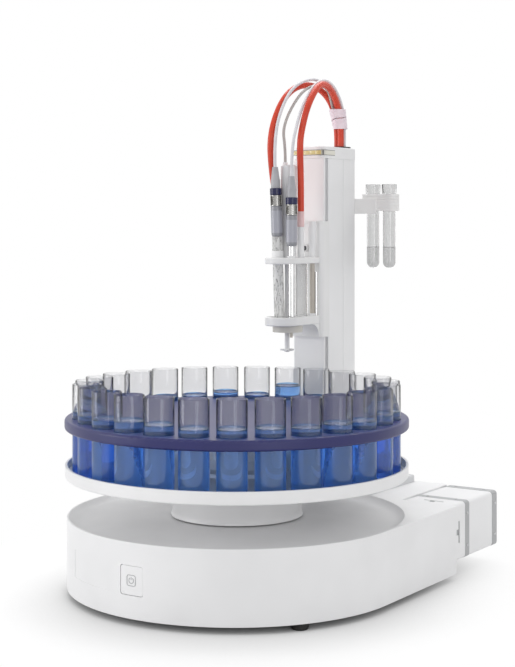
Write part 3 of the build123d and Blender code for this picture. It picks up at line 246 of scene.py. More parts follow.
# Slow waves in a clear wall and in water: millimetres across, and millimetres high
waves = {"size": 9, "wall": 0.03, "water": 0.05}


# Where a wall stands in liquid it loses the painted grey that stands in for its inner reflections
def clearerBelow(tree, shader, place, low, high):
    height = addNode(tree, "ShaderNodeSeparateXYZ", links={0: place})
    level, fade = surface["level"], surface["fade"]
    share = addNode(
        tree, "ShaderNodeMapRange",
        {"From Min": (level - fade) * mm, "From Max": (level + fade) * mm},
        {"Value": height.outputs["Z"]},
    )
    colour = addNode(
        tree, "ShaderNodeMix", {6: linear(low), 7: linear(high)}, {0: share.outputs[0]},
        data_type="RGBA",
    )
    tree.links.new(colour.outputs[2], shader.inputs["Base Color"])


# Moulded or drawn clear wall: bends what is behind it, and its grey tint is painted reflection, standing in
# for its inner reflections
def clearWall(name, colour, ior, clear, wave, wet=None):
    material, tree, shader, place = startMaterial(name, colour, 0.0, ior=ior)
    shader.inputs["Transmission Weight"].default_value = clear
    if wet:
        clearerBelow(tree, shader, place, wet, colour)
    grain(tree, shader, place, waves["size"], waves["wall"], wave)
    letLightThrough(tree, shader, "#f6f7f7")
    return material


# Water with dye: clear at the surface, deeper in colour the longer the way through it
def dyedWater(name, body, clear, colour, density, wave):
    material, tree, shader, place = startMaterial(name, body, 0.0, ior=1.333)
    shader.inputs["Transmission Weight"].default_value = clear
    grain(tree, shader, place, waves["size"], waves["water"], wave)
    letLightThrough(tree, shader, "#ffffff")
    depth = addNode(tree, "ShaderNodeVolumeAbsorption", {"Color": linear(colour), "Density": density})
    tree.links.new(depth.outputs[0], tree.nodes["Material Output"].inputs["Volume"])
    return material


# Name, pale and deep colour, lowest and highest roughness, then grain in millimetres and IOR
finishes = {
    "housing": mouldedPlastic("housingAbs", "#f2f2f3", "#ededee", 0.36, 0.46),
    "tower": powderCoat("towerPowderCoat", "#f3f3f4", "#eeeeef", 0.38, 0.48),
    "plinth": mouldedPlastic("plinthAbs", "#d9dadc", "#d3d4d6", 0.42, 0.52),
    "tray": mouldedPlastic("trayAbs", "#f0f0f1", "#ebebec", 0.34, 0.44),
    "arm": mouldedPlastic("armAbs", "#f1f1f1", "#ececec", 0.34, 0.44, 0.7),
    "fitting": mouldedPlastic("fittingPom", "#efeff0", "#e9e9ea", 0.3, 0.4, 0.6),
    "holder": mouldedPlastic("holderPolypropylene", "#f6f5f4", "#f1f0ef", 0.36, 0.46, 0.6),
    "pumpWhite": mouldedPlastic("pumpCoverAbs", "#f2f2f3", "#ededee", 0.28, 0.38),
    "pumpGrey": mouldedPlastic("pumpBandAbs", "#b3b4b6", "#acadaf", 0.42, 0.52),
    "plate": mouldedPlastic("platePolypropylene", "#282a63", "#26285f", 0.37, 0.39, 0.8, 1.45),
    "sensorGrey": mouldedPlastic("sensorBodyPolysulfone", "#95969c", "#8e8f95", 0.16, 0.24, 0.5),
    "bootGrey": softRubber("sensorBootRubber", "#b4b4b8", "#ababb0", 0.34, 0.46),
    "ringBlue": mouldedPlastic("sensorRingPolypropylene", "#1c1e4c", "#181a44", 0.2, 0.3, 0.5, 1.45),
    "stirrerWhite": mouldedPlastic("stirrerPtfe", "#e9e9ea", "#e0e0e2", 0.32, 0.42, 0.5),
    "cup": mouldedPlastic("cupPolypropylene", "#d6d3cb", "#cbc8c0", 0.42, 0.55, 0.6),
    "black": mouldedPlastic("blackNylon", "#1b1b1d", "#151517", 0.4, 0.55, 0.6),
    "rubber": softRubber("footRubber", "#1d1c1b", "#161514", 0.55, 0.7),
    "button": mouldedPlastic("buttonAbs", "#f3f3f4", "#eeeeef", 0.24, 0.32, 0.5),
    "zinc": brushedMetal("zincCoatedSheet", "#c6c8ca", "#b4b7ba", 0.3, 0.45, 0.5, (1, 0.02, 1)),
    "steel": brushedMetal("zincPlatedSteel", "#cfd0d1", "#bdbebf", 0.2, 0.32),
    "probe": brushedMetal("polishedSteel", "#dcdcdc", "#cfcfd0", 0.1, 0.18, 0.25),
    "nickel": brushedMetal("nickelPlatedBrass", "#aeadab", "#9b9a98", 0.18, 0.3, 0.25),
    "alu": brushedMetal("turnedAluminium", "#d5d6d8", "#c5c6c9", 0.22, 0.34, 0.3),
    "brass": brushedMetal("turnedBrass", "#d3b267", "#c29f56", 0.2, 0.32, 0.3),
    "board": mouldedPlastic("boardSolderLacquer", "#1e5a37", "#184c2e", 0.3, 0.4, 0.5),
    "belt": softRubber("beltRubber", "#202022", "#19191b", 0.5, 0.65),
    "pink": softRubber("connectorSilicone", "#f1d3d2", "#ecc8c8", 0.35, 0.48),
    "brown": mouldedPlastic("rodPeek", "#c3bbb0", "#b9b1a6", 0.24, 0.34, 0.5),
    "knob": mouldedPlastic("knobNylon", "#4a4a4d", "#3e3e41", 0.35, 0.5, 0.5),
    "hose": softRubber("redExtrudedSilicone", "#d94a31", "#d0412a", 0.34, 0.42, 2.5, 1.43),
    "cableWhite": softRubber("whiteSheath", "#e7e6ea", "#dcdbe0", 0.38, 0.5),
    "cableGrey": softRubber("greySheath", "#c3c0bd", "#b6b3b0", 0.38, 0.5),
    "wrap": softRubber("wrapPolyethylene", "#f2e4ec", "#ead8e2", 0.32, 0.45),
    "silicone": softRubber("paleSilicone", "#dcd6ca", "#d2ccc0", 0.35, 0.48),
    "light": mouldedPlastic("milkyPolycarbonate", "#eceae0", "#e3e0d2", 0.12, 0.2, 0.5),
    "gold": mouldedPlastic("goldTintedPolycarbonate", "#e9dca6", "#d8c67e", 0.1, 0.16, 0.4),
    "grip": mouldedPlastic("gripPolyamide", "#a2a3a5", "#9b9c9e", 0.4, 0.5, 0.5),
    "label": mouldedPlastic("labelPolyester", "#acadb6", "#a5a6b0", 0.2, 0.28, 0.5),
    "mark": mouldedPlastic("greyScreenInk", "#b0b1b3", "#a9aaac", 0.4, 0.5, 0.5),
    # Dark grey lines round the status light's window: painted shade in its seams
    "seamShade": mouldedPlastic("paintedSeamShade", "#6c6d6f", "#636466", 0.5, 0.6, 0.5),
    "glass": clearWall("testTubeGlass", "#e6e6e6", 1.42, 0.96, 0.0),
    "sleeve": clearWall("sleeveGlass", "#eeeeee", 1.12, 0.98, 0.0),
    "clearTube": clearWall("clearPolystyrene", "#efeff0", 1.38, 0.996, 0.12, "#fdfdfd"),
    "gel": wornGel("glassShaftGel"),
    "water": dyedWater("blueDyedWater", "#a8d6fc", 0.93, "#0a94f4", 20.0, 0.2),
    "buffer": dyedWater("clearBufferWater", "#f0f0f0", 0.92, "#d9d9d9", 3.0, 0.0),
}
print("stage: materials,", len(finishes))


# Shaping by hand, on one mesh at a time
def clearSelection():
    if bpy.context.object and bpy.context.object.mode != "OBJECT":
        bpy.ops.object.mode_set(mode="OBJECT")
    bpy.ops.object.select_all(action="DESELECT")


def pick(piece):
    clearSelection()
    piece.select_set(True)
    bpy.context.view_layer.objects.active = piece


# Points nearer than the gap, in millimetres, become one, and all faces look outwards
def closeUp(piece, gap=0.0):
    pick(piece)
    bpy.ops.object.mode_set(mode="EDIT")
    bpy.ops.mesh.select_all(action="SELECT")
    if gap:
        bpy.ops.mesh.remove_doubles(threshold=gap * mm)
    bpy.ops.mesh.normals_make_consistent(inside=False)
    bpy.ops.object.mode_set(mode="OBJECT")


def millimetres(line):
    return [(max(r, 0) * mm, z * mm) for r, z in line]


def named(name):
    piece = bpy.context.object
    piece.name = name
    piece.data.name = name
    bpy.ops.object.transform_apply(location=True, rotation=True, scale=True)
    return piece


def turnedPiece(name, profile, place=(0.0, 0.0), steps=48, smooth=40):
    clearSelection()
    x, y = place
    first = profile[0]
    bpy.ops.mesh.primitive_plane_add(size=mm, location=(x + first[0], y, first[1]))
    piece = named(name)
    bpy.ops.object.mode_set(mode="EDIT")
    bpy.ops.mesh.merge(type="CENTER")
    for low, high in zip(profile, profile[1:]):
        step = (high[0] - low[0], 0, high[1] - low[1])
        bpy.ops.mesh.extrude_region_move(TRANSFORM_OT_translate={"value": step})
    bpy.ops.mesh.select_all(action="SELECT")
    bpy.ops.mesh.spin(steps=steps, angle=fullTurn, center=(x, y, 0), axis=(0, 0, 1))
    bpy.ops.mesh.select_all(action="SELECT")
    bpy.ops.mesh.remove_doubles(threshold=0.002 * mm)
    bpy.ops.mesh.normals_make_consistent(inside=False)
    bpy.ops.object.mode_set(mode="OBJECT")
    bpy.ops.object.shade_smooth_by_angle(angle=math.radians(smooth))
    return piece


def arcProfile(centre, radius, start, end, count):
    return [
        (
            centre[0] + radius * math.cos(math.radians(start + (end - start) * n / count)),
            centre[1] + radius * math.sin(math.radians(start + (end - start) * n / count)),
        )
        for n in range(count + 1)
    ]


def copyTo(piece, name, move=(0, 0, 0)):
    twin = piece.copy()
    twin.data = piece.data.copy()
    twin.name = name
    bpy.context.scene.collection.objects.link(twin)
    twin.data.transform(Matrix.Translation(move))
    return twin


def joined(pieces, name):
    clearSelection()
    for piece in pieces:
        piece.select_set(True)
    bpy.context.view_layer.objects.active = pieces[0]
    if len(pieces) > 1:
        bpy.ops.object.join()
    piece = bpy.context.object
    piece.name = name
    piece.data.name = name
    return piece


def dress(piece, body, finish, stands=()):
    piece.data.materials.clear()
    piece.data.materials.append(finishes[finish])
    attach(piece, body)
    if stands:
        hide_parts(*stands)
    return piece


def blockPiece(name, low, high, edge, segments=2):
    clearSelection()
    bpy.ops.mesh.primitive_cube_add(size=1)
    piece = named(name)
    for spot in piece.data.vertices:
        spot.co = [(high[n] if spot.co[n] > 0 else low[n]) * mm for n in range(3)]
    bevel = piece.modifiers.new("edges", "BEVEL")
    bevel.width = edge * mm
    bevel.segments = segments
    bpy.ops.object.modifier_apply(modifier="edges")
    bpy.ops.object.shade_smooth_by_angle(angle=math.radians(40))
    return piece


# A piece made upright on the origin is leant and moved to the axis it stands on
def leanTo(piece, foot, way):
    lean = Vector((0, 0, 1)).rotation_difference(Vector(way)).to_matrix().to_4x4()
    piece.data.transform(Matrix.Translation(Vector(foot) * mm) @ lean)
    return piece


# A CAD node's form with its sharp edges broken, as moulded or machined edges are
def edgedCopy(node, name, body, slot, finish, width, angle=35, segments=2):
    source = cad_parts[node]
    piece = source.copy()
    piece.data = source.data.copy()
    piece.parent = None
    piece.name = name
    piece.data.name = name
    for key in list(piece.keys()):
        if key.startswith("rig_"):
            del piece[key]
    bpy.context.scene.collection.objects.link(piece)
    pick(piece)
    bpy.ops.object.mode_set(mode="EDIT")
    bpy.ops.mesh.select_all(action="SELECT")
    bpy.ops.mesh.remove_doubles(threshold=0.001 * mm)
    bpy.ops.mesh.customdata_custom_splitnormals_clear()
    bpy.ops.mesh.dissolve_limited(angle_limit=math.radians(0.5))
    bpy.ops.object.mode_set(mode="OBJECT")
    if width:
        bevel = piece.modifiers.new("edges", "BEVEL")
        bevel.width = width * mm
        bevel.segments = segments
        bevel.limit_method = "ANGLE"
        bevel.angle_limit = math.radians(angle)
        bpy.ops.object.modifier_apply(modifier="edges")
    bpy.ops.object.shade_smooth_by_angle(angle=math.radians(angle))
    flat = piece.modifiers.new("flatFaces", "WEIGHTED_NORMAL")
    flat.keep_sharp = True
    bpy.ops.object.modifier_apply(modifier="flatFaces")
    return dress(piece, body, finish, (node,))


# The loose parts of a node, each with its own finish, told apart by the height they reach
def partsOf(piece, body, table):
    pick(piece)
    bpy.ops.mesh.separate(type="LOOSE")
    for part in list(bpy.context.selected_objects):
        top = max(v.co.z for v in part.data.vertices) / mm
        name, finish = next(row[1:] for row in table if top < row[0])
        part.name = name
        part.data.name = name
        dress(part, body, finish)


# Hoses and cables: free runs from the head over to the tower's top
cords = {
    "hoseRight": {
        "node": "hose_right", "finish": "hose", "slot": "hose_red",
        "radius": 3.65, "length": 0.2725,
        "route": [
            (-0.0254, 0.10855, 0.3874), (-0.0254, 0.10855, 0.4224), (-0.023, 0.10265, 0.458),
            (-0.0225, 0.10415, 0.4765), (-0.0155, 0.10865, 0.51), (-0.0185, 0.14265, 0.5385),
            (-0.0235, 0.18365, 0.522), (-0.0205, 0.19115, 0.4785), (-0.0229, 0.19055, 0.4541),
        ],
    },
    "hoseLeft": {
        "node": "hose_left", "finish": "hose", "slot": "hose_red",
        "radius": 3.65, "length": 0.3033,
        "route": [
            (-0.049, 0.09655, 0.3731), (-0.049, 0.09655, 0.3981), (-0.0535, 0.09215, 0.428),
            (-0.0535, 0.08665, 0.4765), (-0.0465, 0.10965, 0.5235), (-0.0385, 0.14915, 0.537),
            (-0.0335, 0.18665, 0.5215), (-0.0305, 0.19965, 0.486), (-0.0293, 0.19495, 0.4541),
        ],
    },
    "cableLeft": {
        "node": "cable_left", "finish": "cableWhite", "slot": "cable_white",
        "radius": 1.75, "length": 0.2513,
        "route": [
            (-0.04461, 0.0848, 0.43712), (-0.04525, 0.08437, 0.46311), (-0.044, 0.09165, 0.4965),
            (-0.0405, 0.11265, 0.528), (-0.035, 0.14265, 0.541), (-0.0345, 0.17265, 0.539),
            (-0.0245, 0.19115, 0.5115), (-0.0255, 0.20315, 0.4825), (-0.0278, 0.20115, 0.4541),
        ],
    },
    "cableStirrer": {
        "node": "cable_stirrer", "finish": "cableGrey", "slot": "cable_grey",
        "radius": 1.6, "length": 0.2222,
        "route": [
            (-0.0407, 0.09995, 0.4429), (-0.0407, 0.09995, 0.4579), (-0.0415, 0.09515, 0.484),
            (-0.036, 0.12315, 0.523), (-0.0285, 0.14565, 0.534), (-0.0275, 0.17185, 0.5316),
            (-0.0299, 0.18585, 0.5083), (-0.0242, 0.19645, 0.4817), (-0.023, 0.20145, 0.4541),
        ],
    },
    "cableRight": {
        "node": "cable_right", "finish": "cableWhite", "slot": "cable_white",
        "radius": 1.75, "length": 0.2484,
        "route": [
            (-0.0248, 0.08815, 0.4266), (-0.0248, 0.08815, 0.4576), (-0.0245, 0.09965, 0.487),
            (-0.0235, 0.11115, 0.51), (-0.025, 0.14115, 0.537), (-0.022, 0.16715, 0.54),
            (-0.0215, 0.19315, 0.5165), (-0.019, 0.19615, 0.482), (-0.0209, 0.19705, 0.4541),
        ],
    },
}


def splinePoints(name, route):
    data = bpy.data.curves.new(name + "Line", "CURVE")
    data.dimensions = "3D"
    spline = data.splines.new("NURBS")
    spline.points.add(len(route) - 1)
    for spot, point in zip(spline.points, route):
        spot.co = (*point, 1)
    spline.order_u = 3
    spline.use_endpoint_u = True
    spline.resolution_u = 10
    line = bpy.data.objects.new(name + "Line", data)
    bpy.context.scene.collection.objects.link(line)
    bpy.context.view_layer.update()
    flat = bpy.data.meshes.new_from_object(line.evaluated_get(bpy.context.evaluated_depsgraph_get()))
    points = [v.co.copy() for v in flat.vertices]
    bpy.data.objects.remove(line)
    bpy.data.meshes.remove(flat)
    return points


def sweptTube(name, points, radius, sides=20):
    mesh = bpy.data.meshes.new(name)
    piece = bpy.data.objects.new(name, mesh)
    bpy.context.scene.collection.objects.link(piece)
    ways = []
    for n in range(len(points)):
        before = points[max(n - 1, 0)]
        after = points[min(n + 1, len(points) - 1)]
        ways.append((after - before).normalized())
    side = ways[0].orthogonal().normalized()
    rings = []
    for n, point in enumerate(points):
        side = (side - ways[n] * side.dot(ways[n])).normalized()
        up = ways[n].cross(side)
        turns = [fullTurn * k / sides for k in range(sides)]
        rings.append([
            point + side * (radius * math.cos(turn)) + up * (radius * math.sin(turn)) for turn in turns
        ])
    corners = [spot for ring in rings for spot in ring]
    faces = []
    for n in range(len(rings) - 1):
        for k in range(sides):
            here, there, after = n * sides, (n + 1) * sides, (k + 1) % sides
            faces.append((here + k, here + after, there + after, there + k))
    faces.append(tuple(reversed(range(sides))))
    faces.append(tuple(range((len(rings) - 1) * sides, len(rings) * sides)))
    mesh.from_pydata([tuple(c) for c in corners], [], faces)
    mesh.update()
    pick(piece)
    bpy.ops.object.shade_smooth_by_angle(angle=math.radians(50))
    return piece


for name, facts in cords.items():
    points = splinePoints(name, facts["route"])
    piece = sweptTube(name, points, facts["radius"] * mm)
    piece.data.materials.append(finishes[facts["finish"]])
    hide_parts(facts["node"])
    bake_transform(piece)
print("stage: hoses and cables")

# Sample tubes of clear glass with a rounded lip, and the blue water in them
tubes = {
    "count": 27, "circle": 153.06, "turn": 102.8353, "radius": 14.6, "wall": 1.0, "bottom": 120.7,
    "top": 212.0, "base": 1.8, "round": 1.6, "recess": 0.5, "land": 3.0, "steps": 56,
    "loose": 15, "lift": 0.3, "lap": 0.04, "meniscus": 1.3, "dip": 0.1,
    "curve": ((0, 1), (0.25, 0.55), (0.8, 0.2), (2, 0)),
}
# Height of the water in each tube, counted from the one under the head
levels = [
    191, 180, 183, 180, 180, 180, 181, 183, 184, 184, 184, 184, 186, 185, 183, 183,
    184, 183, 184, 183, 185, 184, 185, 184, 183, 181, 180,
]


def tubeProfile():
    outer, low, high = tubes["radius"], tubes["bottom"], tubes["top"]
    inner, foot, half = outer - tubes["wall"], tubes["round"], tubes["wall"] / 2
    sole = low + tubes["recess"]
    line = [(0, sole), (outer - foot - tubes["land"], sole)]
    line += arcProfile((outer - foot, low + foot), foot, -90, 0, 6)
    line += arcProfile((outer - half, high - half), half, 0, 180, 8)
    line += arcProfile((inner - foot, low + tubes["base"] + foot), foot, 0, -90, 6)
    line += [(0, low + tubes["base"])]
    return millimetres(line)


def waterProfile(level):
    inner = tubes["radius"] - tubes["wall"] + tubes["lap"]
    low, rise = tubes["bottom"] + tubes["base"] - tubes["lap"], tubes["meniscus"]
    foot = tubes["round"]
    line = [(0, low)] + arcProfile((inner - foot, low + foot), foot, -90, 0, 6)
    line += [(inner - away, level + rise * share) for away, share in tubes["curve"]]
    line += [(0, level - tubes["dip"])]
    return millimetres(line)


def tubeSpot(k):
    turn = math.radians(tubes["turn"] + 360 / tubes["count"] * k)
    return (
        turntable["x"] + tubes["circle"] * mm * math.cos(turn),
        turntable["y"] + tubes["circle"] * mm * math.sin(turn),
    )


firstTube = turnedPiece("tubePattern", tubeProfile(), steps=tubes["steps"])
rackTubes, rackWater = [], []
for k in range(tubes["count"]):
    x, y = tubeSpot(k)
    rise = tubes["lift"] * mm if k == tubes["loose"] else 0
    glass = copyTo(firstTube, "tube", (x, y, rise))
    line = [(r, z + rise) for r, z in waterProfile(levels[k])]
    water = turnedPiece("water", line, (x, y), tubes["steps"])
    if k == tubes["loose"]:
        dress(glass, "loose_tube", "clearTube", ("sample_tube_loose",))
        glass.name = "looseTube"
        dress(water, "loose_tube", "water")
        water.name = "looseTubeWater"
    else:
        rackTubes.append(glass)
        rackWater.append(water)
bpy.data.objects.remove(firstTube)
dress(joined(rackTubes, "rackTubes"), "rack", "clearTube", ("sample_tubes",))
dress(joined(rackWater, "rackWater"), "rack", "water")
print("stage: sample tubes")

# CAD forms with broken edges: node, piece, body, slot, finish, width of the edge in millimetres
edged = [
    ("base_housing", "housingShell", "base", "housing_white", "housing", 0.5),
    ("tower_plinth", "towerPlinth", "base", "plinth_grey", "plinth", 0.0),
    ("tower_column", "towerColumn", "base", "tower_white", "tower", 0.5),
    ("tower_rear_cover", "towerRearCover", "base", "tower_white", "tower", 0.4),
    ("tower_front_panel", "towerPanel", "base", "tower_white", "tower", 0.3),
    ("tower_cap", "towerCap", "base", "tower_white", "tower", 0.3),
    ("rack_plate", "rackPlate", "rack", "rack_blue", "plate", 0.3),
    ("rack_tray", "rackTray", "rack", "rack_white", "tray", 0.5),
    ("turntable_hub", "turntableHub", "rack", "rack_white", "tray", 0.5),
    ("rack_post", "rackPost", "rack", "rack_white", "tray", 0.4),
    ("carriage", "carriageFrame", "head", "arm_white", "arm", 0.5),
    ("upper_arm", "upperArm", "head", "arm_white", "arm", 0.3),
    ("lower_arm", "lowerArm", "head", "arm_white", "arm", 0.3),
    ("tube_cup", "tubeCup", "head", "cup_beige", "cup", 0.4),
    ("sensor_bodies", "sensorBodies", "head", "sensor_grey", "sensorGrey", 0.3),
    ("sensor_rings", "sensorRings", "head", "sensor_blue", "ringBlue", 0.4),
    ("sensor_boots", "sensorBoots", "head", "sensor_grey", "bootGrey", 0.5),
    ("sensor_steel", "steelProbe", "head", "probe_steel", "probe", 0.3),
    ("stirrer_motor", "stirrerMotor", "head", "fitting_white", "fitting", 0.5),
    ("arm_fittings", "armFittings", "head", "fitting_white", "fitting", 0.3),
    ("hose_connectors", "hoseConnectors", "head", "connector_pink", "pink", 0.5),
    ("nozzle_rod", "nozzleRod", "head", "rod_brown", "brown", 0.2),
    ("clamp_knob", "clampKnob", "head", "knob_dark", "knob", 0.4),
    ("stirrer", "stirrerPaddle", "stirrer", "stirrer_white", "stirrerWhite", 0.2),
    ("tube_holder", "tubeHolder", "base", "holder_white", "holder", 0.4),
    ("pump_head", "pumpHead", "base", "pump_white", "pumpWhite", 0.5),
    ("pump_body", "pumpBody", "base", "pump_white", "pumpWhite", 0.5),
    ("pump_bands", "pumpBands", "base", "pump_grey", "pumpGrey", 0.4),
    ("rubber_feet", "rubberFeet", "base", "black_rubber", "rubber", 0.4),
    ("power_button", "powerButton", "button", "button_grey", "button", 0.3),
    ("entry_grommet", "entryGrommet", "base", "black_plastic", "black", 0.4),
    ("light_strip", "lightStrip", "base", "light_gold", "light", 0.2),
]
for row in edged:
    edgedCopy(*row)

# Each below this height, in millimetres
dosingParts = [
    (262, "dosingTip", "silicone"), (275, "rodFoot", "fitting"),
    (322, "rinseRod", "probe"), (400, "dosingSleeve", "sleeve"),
]
sleeves = edgedCopy("dosing_sleeves", "dosingSleeve", "head", "tube_glass", "sleeve", 0.1)
partsOf(sleeves, "head", dosingParts)
print("stage: housings and arms")

# Ribbed nickel sleeves that the sensor plugs turn on
knurls = {
    "radius": 6.4, "ribs": 15, "groove": 0.75, "flank": 0.15, "edge": 0.5, "band": 1.2, "length": 12.6,
    "left": {"foot": (-43.53, 85.53, 393.2), "way": (-0.02465, -0.01655, 1.0)},
    "right": {"foot": (-24.8, 88.2, 382.7), "way": (0.0, 0.0, 1.0)},
}


def ribbedSleeve(name):
    radius, edge, long = knurls["radius"], knurls["edge"], knurls["length"]
    low, high = knurls["band"], long - knurls["band"]
    line = [(0, 0), (radius - edge, 0), (radius, edge), (radius, low), (radius, high)]
    line += [(radius, long - edge), (radius - edge, long), (0, long)]
    piece = turnedPiece(name, millimetres(line), steps=2 * knurls["ribs"])
    side = [
        face.index for face in piece.data.polygons
        if abs(face.normal.z) < 0.1 and low * mm < face.center.z < high * mm
    ]
    middle = [face.center for face in piece.data.polygons]
    side.sort(key=lambda n: math.atan2(middle[n].y, middle[n].x))
    for parts in (piece.data.vertices, piece.data.edges, piece.data.polygons):
        parts.foreach_set("select", [False] * len(parts))
    for n in side[::2]:
        piece.data.polygons[n].select = True
    bpy.ops.object.mode_set(mode="EDIT")
    bpy.ops.mesh.select_mode(type="FACE")
    bpy.ops.mesh.inset(
        thickness=knurls["flank"] * mm, depth=-knurls["groove"] * mm, use_individual=True,
    )
    bpy.ops.mesh.select_mode(type="VERT")
    bpy.ops.object.mode_set(mode="OBJECT")
    bpy.ops.object.shade_smooth_by_angle(angle=math.radians(25))
    return piece


# One for the left and one for the right sensor, on that sensor's axis
def onSensors(pattern, table, name):
    pair = [
        leanTo(copyTo(pattern, side + name), table[side]["foot"], table[side]["way"])
        for side in ("left", "right")
    ]
    bpy.data.objects.remove(pattern)
    return pair


sleevePair = onSensors(ribbedSleeve("knurlPattern"), knurls, "Knurl")
dress(joined(sleevePair, "sensorKnurls"), "head", "nickel", ("sensor_connectors",))

# Label film round the upper shaft of each sensor
labels = {
    "inner": 6.06, "outer": 6.46, "long": 25.0,
    "left": {"foot": (-42.78, 86.03, 363.3), "way": (-0.02465, -0.01655, 1.0)},
    "right": {"foot": (-24.8, 88.2, 352.8), "way": (0.0, 0.0, 1.0)},
}
inner, outer, long = labels["inner"], labels["outer"], labels["long"]
line = [(inner, 0), (outer, 0), (outer, long), (inner, long), (inner, 0)]
films = onSensors(turnedPiece("filmPattern", millimetres(line)), labels, "Film")
dress(joined(films, "sensorLabels"), "head", "label")

# Pale washer that the clamp knob turns on
washer = {
    "foot": (-34.5, 131.2, 345.7), "outer": 4.4, "inner": 2.7, "half": 1.0, "round": 0.45, "steps": 40,
}
edge, level = washer["round"], washer["half"] - washer["round"]
line = arcProfile((washer["outer"] - edge, -level), edge, -90, 0, 4)
line += arcProfile((washer["outer"] - edge, level), edge, 0, 90, 4)
line += arcProfile((washer["inner"] + edge, level), edge, 90, 180, 4)
line += arcProfile((washer["inner"] + edge, -level), edge, 180, 270, 4)
ring = turnedPiece("knobWasher", millimetres(line + line[:1]), steps=washer["steps"])
dress(leanTo(ring, washer["foot"], (0, -1, 0)), "head", "fitting")
print("stage: sensor sleeves")

# Reflectors behind the status light's window, one pale gold facet each
status = {
    "count": 5, "first": -50.4, "pitch": 7.5, "width": 7.2, "tall": 4.6, "level": 455.1,
    "front": 137.9, "proud": 0.6, "flat": 0.25,
}
clearSelection()
bpy.ops.mesh.primitive_cone_add(vertices=4, radius1=1.0, radius2=status["flat"], depth=1.0)
facet = named("facetPattern")
facet.data.transform(Matrix.Rotation(math.pi / 4, 4, "Z"))
reach = math.sqrt(0.5)
for spot in facet.data.vertices:
    spot.co = (
        spot.co.x / reach * status["width"] / 2 * mm,
        -(spot.co.z + 0.5) * status["proud"] * mm,
        spot.co.y / reach * status["tall"] / 2 * mm,
    )
closeUp(facet)
row = [
    copyTo(
        facet, "reflector",
        ((status["first"] + status["pitch"] * n) * mm, status["front"] * mm, status["level"] * mm),
    )
    for n in range(status["count"])
]
bpy.data.objects.remove(facet)
dress(joined(row, "lightReflectors"), "base", "gold")

# Painted shade in the seams round the window, as dark grey lines: one post at its corner, one line each way
# below and above
lines = {
    "start": -54.4, "side": -13.4, "front": 137.9, "end": 163.5, "low": 452.0, "high": 458.2,
    "tall": 0.5, "proud": 0.1, "lip": 0.15, "lap": 0.5, "edge": 0.1, "post": (1.1, 0.2, 0.9),
}
side, front, low, edge = lines["side"], lines["front"], lines["low"], lines["edge"]
face, lap, top = side + lines["proud"], lines["lap"], lines["low"] + lines["tall"]
left, ahead, back = lines["post"]
rails = [
    blockPiece("cornerLine", (side - left, front - ahead, low), (face, front + back, lines["high"]), edge),
    blockPiece(
        "frontLine", (lines["start"], front - lines["lip"], low), (side - lap, front + lap, top), edge,
    ),
    blockPiece("sideLine", (side - lap, front + lap, low), (face, lines["end"], top), edge),
]
rise = (0, 0, (lines["high"] - top) * mm)
rails += [copyTo(rails[1], "frontLine", rise), copyTo(rails[2], "sideLine", rise)]
dress(joined(rails, "paintedShadeFrame"), "base", "seamShade")
print("stage: status light")

# Power sign on the button: a rounded frame, an open ring and a bar, printed a hair proud
sign = {
    "x": -0.2, "level": 42.6, "front": -227.35, "proud": 0.25, "frame": 10.5, "corner": 2.4, "line": 0.55,
    "ring": 2.7, "ringLine": 0.6, "gap": 70, "bar": 2.6, "barLow": 0.6, "edge": 0.05,
}


def thicken(piece, thick):
    solid = piece.modifiers.new("thick", "SOLIDIFY")
    solid.thickness = thick * mm
    solid.offset = 1
    bpy.context.view_layer.objects.active = piece
    bpy.ops.object.modifier_apply(modifier="thick")
    return piece


def standUp(piece, x, y, z):
    upright = Matrix.Rotation(math.pi / 2, 4, "X")
    piece.data.transform(Matrix.Translation((x * mm, y * mm, z * mm)) @ upright)
    return piece


clearSelection()
bpy.ops.mesh.primitive_plane_add(size=sign["frame"] * mm)
frameMark = named("signFrame")
bpy.ops.object.mode_set(mode="EDIT")
bpy.ops.mesh.select_all(action="SELECT")
bpy.ops.mesh.bevel(offset=sign["corner"] * mm, segments=6, affect="VERTICES")
bpy.ops.mesh.select_all(action="SELECT")
bpy.ops.mesh.inset(thickness=sign["line"] * mm, depth=0)
bpy.ops.mesh.delete(type="FACE")
bpy.ops.object.mode_set(mode="OBJECT")
thicken(frameMark, sign["proud"])

clearSelection()
bpy.ops.mesh.primitive_plane_add(size=mm)
ringMark = named("signRing")
inner, outer = sign["ring"] - sign["ringLine"] / 2, sign["ring"] + sign["ringLine"] / 2
for spot in ringMark.data.vertices:
    spot.co = ((inner if spot.co.x < 0 else outer) * mm, 0, 0)
pick(ringMark)
bpy.ops.object.mode_set(mode="EDIT")
bpy.ops.mesh.select_all(action="SELECT")
bpy.ops.mesh.remove_doubles(threshold=0.01 * mm)
bpy.ops.mesh.select_all(action="SELECT")
bpy.ops.mesh.spin(
    steps=32, angle=fullTurn - math.radians(sign["gap"]), center=(0, 0, 0), axis=(0, 0, 1),
)
bpy.ops.object.mode_set(mode="OBJECT")
ringMark.data.transform(Matrix.Rotation(math.radians(90 - sign["gap"] / 2), 4, "Z"))
closeUp(ringMark)
thicken(ringMark, sign["proud"])
barMark = blockPiece(
    "signBar", (-sign["ringLine"] / 2, sign["barLow"], 0),
    (sign["ringLine"] / 2, sign["barLow"] + sign["bar"], sign["proud"]), sign["edge"],
)
marks = [
    standUp(piece, sign["x"], sign["front"], sign["level"]) for piece in (frameMark, ringMark, barMark)
]
dress(joined(marks, "powerSign"), "button", "mark")
print("stage: power sign")

